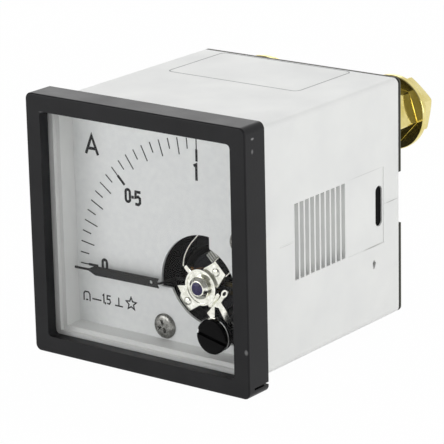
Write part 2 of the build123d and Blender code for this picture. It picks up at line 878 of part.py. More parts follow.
with BuildPart() as rear_posts:
    for end in (-1, 1):
        post_x = pivot_x + end * post_step
        post_z = pivot_z + end * post_step
        outline = [
            (0, core_back - rivet_depth),
            (rivet_radius, core_back - rivet_depth),
            (rivet_radius, core_back),
            (post_radius, core_back),
            (post_radius, rear_bridge_front),
            (rivet_radius, rear_bridge_front),
            (rivet_radius, rear_bridge_back),
            (post_radius, rear_bridge_back),
            (post_radius, rear_bridge_back + rivet_height),
            (0, rear_bridge_back + rivet_height),
        ]
        revolve(turned(outline, post_x, post_z), axis=depth_axis(post_x, post_z))
finish(rear_posts.part, "rear_posts")

with BuildPart() as yoke_spacers:
    with BuildSketch(at_pivot(rear_bridge_front, bridge_turn)):
        with GridLocations(2 * spacer_place, 0, 2, 1):
            Circle(spacer_radius)
    extrude(amount=rear_bridge_front - core_back)
finish(yoke_spacers.part, "yoke_spacers")

# Jewel screws
with BuildPart() as front_jewel_screw:
    revolve(
        turned(
            [
                (0, dome_front + seal_depth),
                (seal_radius, dome_front + seal_depth),
                (seal_radius, dome_front),
                (seal_radius + 0.2, dome_front),
                (jewel_dome_radius, dome_front + 0.55),
                (jewel_dome_radius, dome_back),
                (jewel_screw_neck, dome_back),
                (jewel_screw_neck, bridge_front),
                (jewel_screw_radius, bridge_front),
                (jewel_screw_radius, bridge_back),
                (jewel_radius, bridge_back),
                (jewel_radius, bridge_back - jewel_depth),
                (0, bridge_back - jewel_depth),
            ],
            pivot_x,
            pivot_z,
        ),
        axis=depth_axis(pivot_x, pivot_z),
    )
finish(front_jewel_screw.part, "front_jewel_screw")

with BuildPart() as front_seal:
    revolve(
        turned(
            [
                (0, dome_front - 0.1),
                (seal_radius * 0.6, dome_front - 0.05),
                (seal_radius, dome_front + 0.1),
                (seal_radius, dome_front + seal_depth),
                (0, dome_front + seal_depth),
            ],
            pivot_x,
            pivot_z,
        ),
        axis=depth_axis(pivot_x, pivot_z),
    )
finish(front_seal.part, "front_seal")


def jewel_points(open_end, inward):
    """Half section of a jewel whose cup opens at one depth and goes in along Y."""
    return [
        (0, open_end + inward * jewel_cup_depth),
        (jewel_cup_radius, open_end),
        (jewel_radius, open_end),
        (jewel_radius, open_end + inward * jewel_depth),
        (0, open_end + inward * jewel_depth),
    ]


with BuildPart() as front_jewel:
    revolve(turned(jewel_points(bridge_back, -1), pivot_x, pivot_z), axis=depth_axis(pivot_x, pivot_z))
finish(front_jewel.part, "front_jewel")

rear_screw_back = rear_bridge_back + jewel_dome_height
with BuildPart() as rear_jewel_screw:
    revolve(
        turned(
            [
                (0, rear_bridge_front + jewel_depth),
                (jewel_radius, rear_bridge_front + jewel_depth),
                (jewel_radius, rear_bridge_front),
                (jewel_screw_radius, rear_bridge_front),
                (jewel_screw_radius, rear_bridge_back),
                (jewel_screw_neck, rear_bridge_back),
                (jewel_screw_neck, rear_screw_back),
                (0, rear_screw_back),
            ],
            pivot_x,
            pivot_z,
        ),
        axis=depth_axis(pivot_x, pivot_z),
    )
    with BuildSketch(at_pivot(rear_screw_back)):
        Rectangle(2 * jewel_screw_radius, cross_width)
    extrude(amount=cross_depth, mode=Mode.SUBTRACT)
finish(rear_jewel_screw.part, "rear_jewel_screw")

with BuildPart() as rear_jewel:
    revolve(turned(jewel_points(rear_bridge_front, 1), pivot_x, pivot_z), axis=depth_axis(pivot_x, pivot_z))
finish(rear_jewel.part, "rear_jewel")

# Zero adjusting arm: ring around the jewel screw, spring lug and fork for the crank pin
fork_end = zero_reach + 0.5
fork_left = [(4.3, -1.45), (fork_end, -1.45), (fork_end, -fork_gap), (5.9, -fork_gap), (4.6, 0.8), (4.3, 0.8)]
fork_right = [
    (4.3, 0.8),
    (4.6, 0.8),
    (5.3, 1.35),
    (7.4, fork_gap),
    (fork_end, fork_gap),
    (fork_end, 1.6),
    (8.1, 1.75),
    (6.4, 2.35),
    (4.3, 2.55),
]
joggle = [
    (arm_ring_radius - 0.3, arm_ring_front),
    (3.55, arm_ring_front),
    (4.3, fork_front),
    (4.5, fork_front),
    (4.5, fork_back),
    (4.42, fork_back),
    (3.67, arm_ring_back),
    (arm_ring_radius - 0.3, arm_ring_back),
]
eyelet_place = (4.35, 4.3)
with BuildPart() as zero_adjust_arm:
    revolve(
        turned(
            [
                (arm_bore, arm_ring_back),
                (arm_bore, arm_ring_front),
                (jewel_dome_radius + 0.15, arm_ring_front),
                (arm_ring_radius - arm_rim_width, arm_ring_front),
                (arm_ring_radius - arm_rim_width, arm_ring_front - 0.15),
                (arm_ring_radius, arm_ring_front - 0.15),
                (arm_ring_radius, arm_ring_back),
            ],
            pivot_x,
            pivot_z,
        ),
        axis=depth_axis(pivot_x, pivot_z),
    )
    with BuildSketch(at_pivot(arm_ring_back, lug_turn)):
        with Locations(((arm_ring_radius + lug_outer) / 2, 0)):
            Rectangle(lug_outer - arm_ring_radius + 0.4, lug_width)
    extrude(amount=arm_thickness)
    with BuildSketch(at_pivot(spring_back, lug_turn)):
        with Locations(((lug_inner + lug_outer) / 2, 0)):
            Rectangle(lug_outer - lug_inner, lug_width)
    extrude(amount=spring_back - arm_ring_back)
    joggle_x = (math.cos(math.radians(zero_turn)), 0, math.sin(math.radians(zero_turn)))
    joggle_plane = Plane(
        origin=(pivot_x, 0, pivot_z),
        x_dir=joggle_x,
        z_dir=(-joggle_x[2], 0, joggle_x[0]),
    )
    with BuildSketch(joggle_plane.offset(-1.25)):
        with BuildLine():
            Polyline(*joggle, close=True)
        make_face()
    extrude(amount=3.5)
    with BuildSketch(at_pivot(fork_back, zero_turn)):
        with BuildLine():
            Polyline(*fork_left, close=True)
        make_face()
        with BuildLine():
            Polyline(*fork_right, close=True)
        make_face()
        with BuildLine():
            Polyline((4.3, 2.2), (5.0, 2.4), (4.75, 4.2), (4.0, 4.2), close=True)
        make_face()
        with Locations(eyelet_place):
            Ellipse(0.6, 0.85)
            Ellipse(0.28, 0.5, mode=Mode.SUBTRACT)
    extrude(amount=arm_thickness)
finish(zero_adjust_arm.part, "zero_adjust_arm")


# Hairsprings: flat spirals whose outer end reaches the lug
def spiral_points(start, shift):
    """Points of a spiral that ends at the lug, shifted outwards by a distance."""
    steps_a_turn = 12
    count = spring_turns * steps_a_turn + 1
    places = []
    for step in range(count):
        radius = start + shift + spring_pitch * step / steps_a_turn
        angle = math.radians(360 * step / steps_a_turn)
        places.append((radius * math.cos(angle), radius * math.sin(angle)))
    return places


def hairspring_sketch(y):
    with BuildSketch(at_pivot(y, lug_turn)) as flat:
        inner = spiral_points(spring_inner, 0)
        outer = spiral_points(spring_inner, spring_strip)
        with BuildLine():
            Spline(*inner)
            Line(inner[-1], outer[-1])
            Spline(*outer)
            Line(inner[0], outer[0])
        make_face()
        with Locations(((spring_outer + lug_inner) / 2, 0)):
            Rectangle(lug_inner - spring_outer, spring_strip)
    return flat.sketch


with BuildPart() as front_hairspring:
    extrude(hairspring_sketch(spring_back), amount=spring_height)
finish(front_hairspring.part, "front_hairspring")

rear_spring_back = rear_bridge_front - spring_gap
with BuildPart() as rear_hairspring:
    extrude(hairspring_sketch(rear_spring_back), amount=spring_height)
finish(rear_hairspring.part, "rear_hairspring")

# Moving coil on its spindles
coil_plane = Plane(
    origin=(pivot_x, 0, pivot_z),
    x_dir=(math.cos(math.radians(pointer_rest)), 0, math.sin(math.radians(pointer_rest))),
    z_dir=(-math.sin(math.radians(pointer_rest)), 0, math.cos(math.radians(pointer_rest))),
)
coil_middle = (core_front + core_back) / 2


def frame_sketch(plane, half_inner, inner_depth, thickness):
    """Rectangular loop around the core, centred on it."""
    with BuildSketch(plane) as loop:
        with Locations((0, coil_middle)):
            Rectangle(2 * (half_inner + thickness), inner_depth + 2 * thickness)
            Rectangle(2 * half_inner, inner_depth, mode=Mode.SUBTRACT)
    return loop.sketch


former_depth = core_length + 2 * core_gap
with BuildPart() as coil_former:
    loop = frame_sketch(coil_plane.offset(-former_width / 2), former_inner, former_depth, former_thickness)
    extrude(loop, amount=former_width)
finish(coil_former.part, "coil_former")

with BuildPart() as coil_winding:
    loop = frame_sketch(
        coil_plane.offset(-winding_width / 2),
        former_outer,
        former_depth + 2 * former_thickness,
        winding_thickness,
    )
    extrude(loop, amount=winding_width)
finish(coil_winding.part, "coil_winding")

front_tip = bridge_back - jewel_cup_depth * 0.6
with BuildPart() as front_spindle:
    revolve(
        turned(
            [
                (0, front_tip),
                (pivot_radius, front_tip + 0.35),
                (pivot_radius, spring_front - 0.05),
                (collet_radius, spring_front - 0.05),
                (collet_radius, spring_back),
                (spindle_radius, spring_back),
                (spindle_radius, winding_front - spindle_foot),
                (spindle_foot_radius, winding_front - spindle_foot),
                (spindle_foot_radius, winding_front),
                (0, winding_front),
            ],
            pivot_x,
            pivot_z,
        ),
        axis=depth_axis(pivot_x, pivot_z),
    )
finish(front_spindle.part, "front_spindle")

rear_tip = rear_bridge_front + jewel_cup_depth * 0.6
rear_spring_front = rear_spring_back - spring_height
with BuildPart() as rear_spindle:
    revolve(
        turned(
            [
                (0, winding_back),
                (spindle_foot_radius, winding_back),
                (spindle_foot_radius, winding_back + spindle_foot),
                (spindle_radius, winding_back + spindle_foot),
                (spindle_radius, rear_spring_front),
                (collet_radius, rear_spring_front),
                (collet_radius, rear_spring_back + 0.05),
                (pivot_radius, rear_spring_back + 0.05),
                (pivot_radius, rear_tip - 0.35),
                (0, rear_tip),
            ],
            pivot_x,
            pivot_z,
        ),
        axis=depth_axis(pivot_x, pivot_z),
    )
finish(rear_spindle.part, "rear_spindle")

# Pointer: boss and stalk behind the dial's hole, leg through it, blade in front of the scale
blade_outline = [
    (pointer_tip, pointer_tip_width / 2),
    (pointer_flare_end, pointer_tip_width / 2),
    (pointer_flare_start, pointer_width / 2),
    (blade_start, pointer_width / 2),
    (blade_start + 0.5, 0),
    (blade_start, -pointer_width / 2),
    (pointer_flare_start, -pointer_width / 2),
    (pointer_flare_end, -pointer_tip_width / 2),
    (pointer_tip, -pointer_tip_width / 2),
]
leg_outline = [
    (leg_inner, stalk_back),
    (leg_inner, stalk_front),
    (blade_start - stalk_thickness, blade_back),
    (blade_start - stalk_thickness, blade_front),
    (blade_start + 1.0, blade_front),
    (blade_start + 1.0, blade_back),
    (blade_start, blade_back),
    (leg_inner + stalk_thickness, stalk_front),
    (leg_inner + stalk_thickness, stalk_back),
]
with BuildPart() as pointer:
    with BuildSketch(at_pivot(stalk_back + boss_height / 2, pointer_rest)):
        Circle(boss_radius)
        Circle(spindle_radius, mode=Mode.SUBTRACT)
    extrude(amount=boss_height)
    with BuildSketch(at_pivot(stalk_back, pointer_rest)):
        with Locations((leg_inner / 2 + 0.1, 0)):
            Rectangle(leg_inner + 0.2, stalk_width)
        with Locations((-tail_length / 2, 0)):
            Rectangle(tail_length, tail_width)
        Rectangle(tail_width, 2 * side_arm_length)
        Circle(spindle_radius, mode=Mode.SUBTRACT)
    extrude(amount=stalk_thickness)
    with BuildSketch(coil_plane.offset(-stalk_width / 2)):
        with BuildLine():
            Polyline(*leg_outline, close=True)
        make_face()
    extrude(amount=stalk_width)
    with BuildSketch(at_pivot(blade_back, pointer_rest)):
        with BuildLine():
            Polyline(*blade_outline, close=True)
        make_face()
        with Locations((blade_hole_place, 0)):
            Circle(blade_hole_radius, mode=Mode.SUBTRACT)
    extrude(amount=stalk_thickness)
finish(pointer.part, "pointer")

# Balance weights behind the tail and the side arms
with BuildPart() as balance_weights:
    with BuildSketch(at_pivot(stalk_back + weight_length, pointer_rest)):
        with Locations((-tail_length + weight_radius, 0)):
            Circle(weight_radius)
        with GridLocations(0, 2 * (side_arm_length - side_weight_radius), 1, 2):
            Circle(side_weight_radius)
    extrude(amount=weight_length)
finish(balance_weights.part, "balance_weights")

# Ribbed clip beside the end of the front bridge
with BuildPart() as bridge_clip:
    clip_back = bridge_front + clip_depth
    with BuildSketch(at_pivot(clip_back, bridge_turn)):
        with Locations(((clip_start + clip_end) / 2, (clip_low + clip_high) / 2)):
            Rectangle(clip_end - clip_start, clip_high - clip_low)
    extrude(amount=clip_depth)
    clip_length = clip_end - clip_start
    rib_pitch = clip_length / clip_ribs
    with BuildSketch(at_pivot(bridge_front, bridge_turn)):
        with Locations(((clip_start + clip_end) / 2, (clip_low + clip_high) / 2)):
            with GridLocations(rib_pitch, 0, clip_ribs, 1):
                Rectangle(rib_pitch / 2, clip_high - clip_low)
    extrude(amount=-rib_pitch / 3, mode=Mode.SUBTRACT)
finish(bridge_clip.part, "bridge_clip")


def wire(points, radii, radius):
    """Round wire along straight runs joined by arcs."""
    with BuildPart() as strand:
        with BuildLine() as route:
            FilletPolyline(*points, radius=radii)
        start = route.line
        with BuildSketch(Plane(origin=start @ 0, z_dir=start % 0)):
            Circle(radius)
        sweep()
    return strand.part


# Lead from the right solder tag, through the carrier plate, to the front of the movement
tag_bottom_z = terminal_z - tag_length + 0.8
lead_front = carrier_front - lead_radius - running_clearance
lead_route = [
    (terminal_x, tag_front - lead_radius, tag_bottom_z),
    (terminal_x, tag_front - lead_radius, tag_bottom_z - 3.0),
    (terminal_x - 1.0, 24.0, 2.0),
    (lead_hole_x, 12.0, lead_hole_z),
    (lead_hole_x, lead_front, lead_hole_z),
    (5.6, lead_front, -0.25),
    (3.0, lead_front, -3.6),
    (2.3, lead_front, -6.2),
]
with BuildPart() as movement_lead:
    add(wire(lead_route, [0.8, 3.0, 3.0, 0.7, 1.5, 3.0], lead_radius))
finish(movement_lead.part, "movement_lead")

# Series resistor between the left solder tag and the lug of the rear hairspring
lug_x = pivot_x + (lug_inner + lug_outer) / 2 * math.cos(math.radians(lug_turn))
lug_z = pivot_z + (lug_inner + lug_outer) / 2 * math.sin(math.radians(lug_turn))
resistor_middle = (-8.0, 30.0, -2.0)
resistor_route = [
    (-terminal_x, tag_front - resistor_lead_radius, tag_bottom_z),
    (-terminal_x, tag_front - resistor_lead_radius, -2.0),
    (-terminal_x, 30.0, -2.0),
    (resistor_middle[0] + resistor_length, 30.0, -2.0),
    (lug_x, 28.0, lug_z),
    (lug_x, rear_bridge_back, lug_z),
]
with BuildPart() as series_resistor:
    add(wire(resistor_route, [1.0, 1.5, 1.2, 1.2], resistor_lead_radius))
    with BuildSketch(Plane(origin=resistor_middle, x_dir=(0, 1, 0), z_dir=(1, 0, 0))):
        Circle(resistor_radius)
    extrude(amount=resistor_length / 2, both=True)
    fillet(series_resistor.edges().filter_by(GeomType.CIRCLE).group_by(SortBy.LENGTH)[-1], 0.4)
finish(series_resistor.part, "series_resistor")
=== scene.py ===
import json
import math

import bmesh
import bpy
from mathutils import Matrix, Vector


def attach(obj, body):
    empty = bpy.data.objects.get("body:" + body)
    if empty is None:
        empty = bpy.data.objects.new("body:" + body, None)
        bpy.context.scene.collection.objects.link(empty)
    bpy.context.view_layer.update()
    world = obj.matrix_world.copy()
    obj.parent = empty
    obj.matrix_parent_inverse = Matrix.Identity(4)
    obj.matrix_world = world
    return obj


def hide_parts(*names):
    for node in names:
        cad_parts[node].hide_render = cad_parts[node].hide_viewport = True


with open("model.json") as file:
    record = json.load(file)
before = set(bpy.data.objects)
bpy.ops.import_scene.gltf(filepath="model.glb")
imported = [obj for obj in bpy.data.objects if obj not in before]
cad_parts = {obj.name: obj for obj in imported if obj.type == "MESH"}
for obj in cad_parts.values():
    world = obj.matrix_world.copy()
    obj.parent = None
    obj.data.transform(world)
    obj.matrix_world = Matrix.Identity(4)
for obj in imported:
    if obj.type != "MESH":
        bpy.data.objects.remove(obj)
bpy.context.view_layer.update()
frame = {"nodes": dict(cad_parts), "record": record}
nodes = frame["nodes"]
bodyOf = {node: body for body, members in frame["record"]["behaviour"]["bodies"].items() for node in members}
slotOf = {part["node"]: part["material_slot"] for part in frame["record"]["subparts"]}
mm = 0.001
print("frame loaded:", len(nodes), "nodes")


def addNode(tree, kind, inputs=None, **settings):
    node = tree.nodes.new(kind)
    for name, value in settings.items():
        setattr(node, name, value)
    for socket, value in (inputs or {}).items():
        if isinstance(value, bpy.types.NodeSocket):
            tree.links.new(value, node.inputs[socket])
        else:
            node.inputs[socket].default_value = value
    return node


def hexColour(text):
    channels = [int(text[i : i + 2], 16) / 255 for i in (0, 2, 4)]
    return tuple(c / 12.92 if c <= 0.04045 else ((c + 0.055) / 1.055) ** 2.4 for c in channels) + (1.0,)


def perMm(size):
    return 1 / (size * mm)  # texture scale for a pattern of this size in millimetres


def startMaterial(name):
    material = bpy.data.materials.new(name)
    material.use_nodes = True
    material.node_tree.nodes.clear()
    place = addNode(material.node_tree, "ShaderNodeTexCoord").outputs["Object"]
    return material, material.node_tree, place


def finishMaterial(material, tree, shader):
    addNode(tree, "ShaderNodeOutputMaterial", {"Surface": shader})
    return material


noiseSpan = {"From Min": 0.3, "From Max": 0.7}  # noise seldom leaves this span
plasticIor = 1.53
lacquerIor = 1.5
coatRoughness = 0.08
markCore = 0.4  # a mark is at full strength inside this share of its size


# Distance from the nearer terminal's axis, which runs along Y; the terminals mirror each other in X
def terminalDistance(tree, place, x, z):
    parts = addNode(tree, "ShaderNodeSeparateXYZ", {0: place})
    across = addNode(tree, "ShaderNodeMath", {0: parts.outputs["X"]}, operation="ABSOLUTE").outputs[0]
    flat = addNode(tree, "ShaderNodeCombineXYZ", {"X": across, "Z": parts.outputs["Z"]}).outputs[0]
    offset = addNode(tree, "ShaderNodeVectorMath", {0: flat, 1: (x * mm, 0, z * mm)}, operation="SUBTRACT")
    return addNode(tree, "ShaderNodeVectorMath", {0: offset.outputs[0]}, operation="LENGTH").outputs["Value"]


# Moulded plastic: one even colour, faintly cloudy, with the fine grain of a spark-eroded tool
def mouldedPlastic(name, look, uneven=0.04):
    material, tree, place = startMaterial(name)
    clouds = {"Vector": place, "Scale": perMm(look["cloudMm"]), "Detail": 3.0}
    cloud = addNode(tree, "ShaderNodeTexNoise", clouds).outputs[0]
    grains = {"Vector": place, "Scale": perMm(look["grainMm"]), "Detail": 2.0}
    grain = addNode(tree, "ShaderNodeTexNoise", grains).outputs[0]
    mottle = noiseSpan | {"Value": cloud, "To Min": 0.0, "To Max": 1.0}
    share = addNode(tree, "ShaderNodeMapRange", mottle).outputs[0]
    tints = {0: share, 6: hexColour(look["colour"]), 7: hexColour(look["cloudColour"])}
    colour = addNode(tree, "ShaderNodeMix", tints, data_type="RGBA").outputs[2]
    for mark in look.get("marks", []):  # scuffs, dark lines and painted shade at their places on the object
        where = {"Vector": place, "Location": [-v * mm for v in mark["place"]]}
        shifted = addNode(tree, "ShaderNodeMapping", where).outputs[0]
        reach = [1 / (v * mm) for v in mark["size"]]
        fitted = {0: shifted, 1: reach}
        scaled = addNode(tree, "ShaderNodeVectorMath", fitted, operation="MULTIPLY").outputs[0]
        far = addNode(tree, "ShaderNodeVectorMath", {0: scaled}, operation="LENGTH").outputs["Value"]
        fade = {"Value": far, "From Min": 1.0, "From Max": markCore, "To Max": mark["strength"]}
        cover = addNode(tree, "ShaderNodeMapRange", fade).outputs["Result"]
        wornAndShaded = {0: cover, 6: colour, 7: hexColour(mark["colour"])}
        colour = addNode(tree, "ShaderNodeMix", wornAndShaded, data_type="RGBA").outputs[2]
    if "sheenBandMiddle" in look:  # painted sheen: a pale band round this depth, where the edge catches the light
        depth = addNode(tree, "ShaderNodeSeparateXYZ", {0: place}).outputs["Y"]
        band = {0: depth, 1: look["sheenBandMiddle"] * mm, 2: look["sheenBandHalf"] * mm}
        inside = addNode(tree, "ShaderNodeMath", band, operation="COMPARE").outputs[0]
        sheenMix = {0: inside, 6: colour, 7: hexColour(look["sheenBandColour"])}
        colour = addNode(tree, "ShaderNodeMix", sheenMix, data_type="RGBA").outputs[2]
    bump = {"Strength": 1.0, "Distance": look["grainDepth"] * mm, "Height": grain}
    dull = {"Value": cloud, "To Min": look["roughness"] - uneven, "To Max": look["roughness"] + uneven}
    shader = addNode(
        tree,
        "ShaderNodeBsdfPrincipled",
        {
            "Base Color": colour,
            "Roughness": addNode(tree, "ShaderNodeMapRange", noiseSpan | dull).outputs[0],
            "IOR": plasticIor,
            "Specular IOR Level": look.get("shine", 0.5),
            "Normal": addNode(tree, "ShaderNodeBump", bump).outputs[0],
        },
    )
    return finishMaterial(material, tree, shader.outputs[0])


# Metal: stamped or drawn with fine directional scratches, or turned with rings about an axis
def workedMetal(name, look):
    material, tree, place = startMaterial(name)
    stretch = look.get("stretch", (1, 1, 1))
    drawn = addNode(tree, "ShaderNodeMapping", {"Vector": place, "Scale": stretch}).outputs[0]
    scratches = {"Vector": drawn, "Scale": perMm(look["grainMm"]), "Detail": 4.0}
    height = addNode(tree, "ShaderNodeTexNoise", scratches).outputs[0]
    patches = {"Vector": place, "Scale": perMm(look["patchMm"]), "Detail": 3.0}
    patch = addNode(tree, "ShaderNodeTexNoise", patches).outputs[0]
    mottle = noiseSpan | {"Value": patch, "To Min": 0.0, "To Max": 1.0}
    share = addNode(tree, "ShaderNodeMapRange", mottle).outputs[0]
    tints = {0: share, 6: hexColour(look["colour"]), 7: hexColour(look["patchColour"])}
    colour = addNode(tree, "ShaderNodeMix", tints, data_type="RGBA").outputs[2]
    if "rings" in look:
        radius = terminalDistance(tree, place, *look["rings"])
        turns = {0: radius, 1: 2 * math.pi * perMm(look["ringMm"])}
        phase = addNode(tree, "ShaderNodeMath", turns, operation="MULTIPLY").outputs[0]
        wave = addNode(tree, "ShaderNodeMath", {0: phase}, operation="SINE").outputs[0]
        height = addNode(tree, "ShaderNodeMath", {0: wave, 1: height}, operation="ADD").outputs[0]
    bump = {"Strength": 1.0, "Distance": look["depth"] * mm, "Height": height}
    low, high = look["roughness"]
    dull = noiseSpan | {"Value": patch, "To Min": low, "To Max": high}
    shader = addNode(
        tree,
        "ShaderNodeBsdfPrincipled",
        {
            "Base Color": colour,
            "Metallic": 1.0,
            "Roughness": addNode(tree, "ShaderNodeMapRange", dull).outputs[0],
            "Normal": addNode(tree, "ShaderNodeBump", bump).outputs[0],
        },
    )
    return finishMaterial(material, tree, shader.outputs[0])


# Painted, printed, glazed or lacquered skin over something else
def coatedSkin(name, look, uneven=0.05):
    material, tree, place = startMaterial(name)
    specks = {"Vector": place, "Scale": perMm(look["speckMm"]), "Detail": 4.0}
    speck = addNode(tree, "ShaderNodeTexNoise", specks).outputs[0]
    mottle = noiseSpan | {"Value": speck, "To Min": 0.0, "To Max": 1.0}
    share = addNode(tree, "ShaderNodeMapRange", mottle).outputs[0]
    tints = {0: share, 6: hexColour(look["colour"]), 7: hexColour(look["speckColour"])}
    bump = {"Strength": 1.0, "Distance": look["depth"] * mm, "Height": speck}
    dull = {"Value": speck, "To Min": look["roughness"] - uneven, "To Max": look["roughness"] + uneven}
    shader = addNode(
        tree,
        "ShaderNodeBsdfPrincipled",
        {
            "Base Color": addNode(tree, "ShaderNodeMix", tints, data_type="RGBA").outputs[2],
            "Roughness": addNode(tree, "ShaderNodeMapRange", noiseSpan | dull).outputs[0],
            "IOR": look.get("ior", lacquerIor),
            "Specular IOR Level": look.get("shine", 0.5),
            "Coat Weight": look.get("coat", 0.0),
            "Coat Roughness": coatRoughness,
            "Normal": addNode(tree, "ShaderNodeBump", bump).outputs[0],
        },
    )
    return finishMaterial(material, tree, shader.outputs[0])


# Clear acrylic sheet: bends what the camera sees behind it and mirrors a little.
# Shadow rays, and rays that a surface has reflected, pass straight through it.
def clearAcrylic(name, look):
    material, tree, place = startMaterial(name)
    hazes = {"Vector": place, "Scale": perMm(look["hazeMm"]), "Detail": 2.0}
    haze = addNode(tree, "ShaderNodeTexNoise", hazes).outputs[0]
    low, high = look["roughness"]
    dull = noiseSpan | {"Value": haze, "To Min": low, "To Max": high}
    glass = addNode(
        tree,
        "ShaderNodeBsdfPrincipled",
        {
            "Base Color": hexColour(look["tint"]),
            "IOR": look["ior"],
            "Transmission Weight": 1.0,
            "Specular IOR Level": look["shine"],
            "Specular Tint": hexColour(look["mirrorTint"]),
            "Roughness": addNode(tree, "ShaderNodeMapRange", dull).outputs[0],
        },
    ).outputs[0]
    clear = addNode(tree, "ShaderNodeBsdfTransparent").outputs[0]
    rays = addNode(tree, "ShaderNodeLightPath").outputs
    straight = {0: rays["Is Shadow Ray"], 1: rays["Is Reflection Ray"]}
    share = addNode(tree, "ShaderNodeMath", straight, operation="MAXIMUM").outputs[0]
    shown = addNode(tree, "ShaderNodeMixShader", {0: share, 1: glass, 2: clear}).outputs[0]
    return finishMaterial(material, tree, shown)


bezelMarks = [
    {"place": (24.0, -3.4, 21.8), "size": (0.6, 0.5, 0.25), "strength": 0.5, "colour": "b8b8b8"},
    {"place": (24.0, -3.5, 19.6), "size": (0.6, 0.35, 0.5), "strength": 0.35, "colour": "a8a8a8"},
    {"place": (23.5, -5.6, -15.4), "size": (0.45, 0.3, 0.6), "strength": 0.45, "colour": "9c9c9c"},
    {"place": (-20.3, -5.6, 20.8), "size": (0.75, 0.4, 0.14), "strength": 0.4, "colour": "8c8c8c"},
    # a dark line along the back edge of the top face, at its left end
    {"place": (-20.2, 0.0, 24.0), "size": (3.2, 0.3, 0.25), "strength": 0.9, "colour": "050505"},
]
casePaintedShade = []  # painted shade: dark lines along the seams and the panel's edges, and a dark spot in the small hole
for side in (-22.2, 22.2):
    casePaintedShade += [
        {"place": (side, 41.0, -0.15), "size": (0.4, 2.7, 0.14), "strength": 0.7, "colour": "8d8d8a"},
        {"place": (side, 8.4, -0.15), "size": (0.4, 2.4, 0.12), "strength": 0.35, "colour": "a5a5a2"},
        {"place": (side, 32.9, 6.9), "size": (0.4, 6.4, 0.11), "strength": 0.35, "colour": "9a9a98"},
        {"place": (side, 35.2, -7.4), "size": (0.4, 4.2, 0.13), "strength": 0.6, "colour": "8d8d8a"},
        {"place": (side, 35.3, -10.7), "size": (0.5, 0.5, 0.85), "strength": 1.0, "colour": "262626"},
    ]
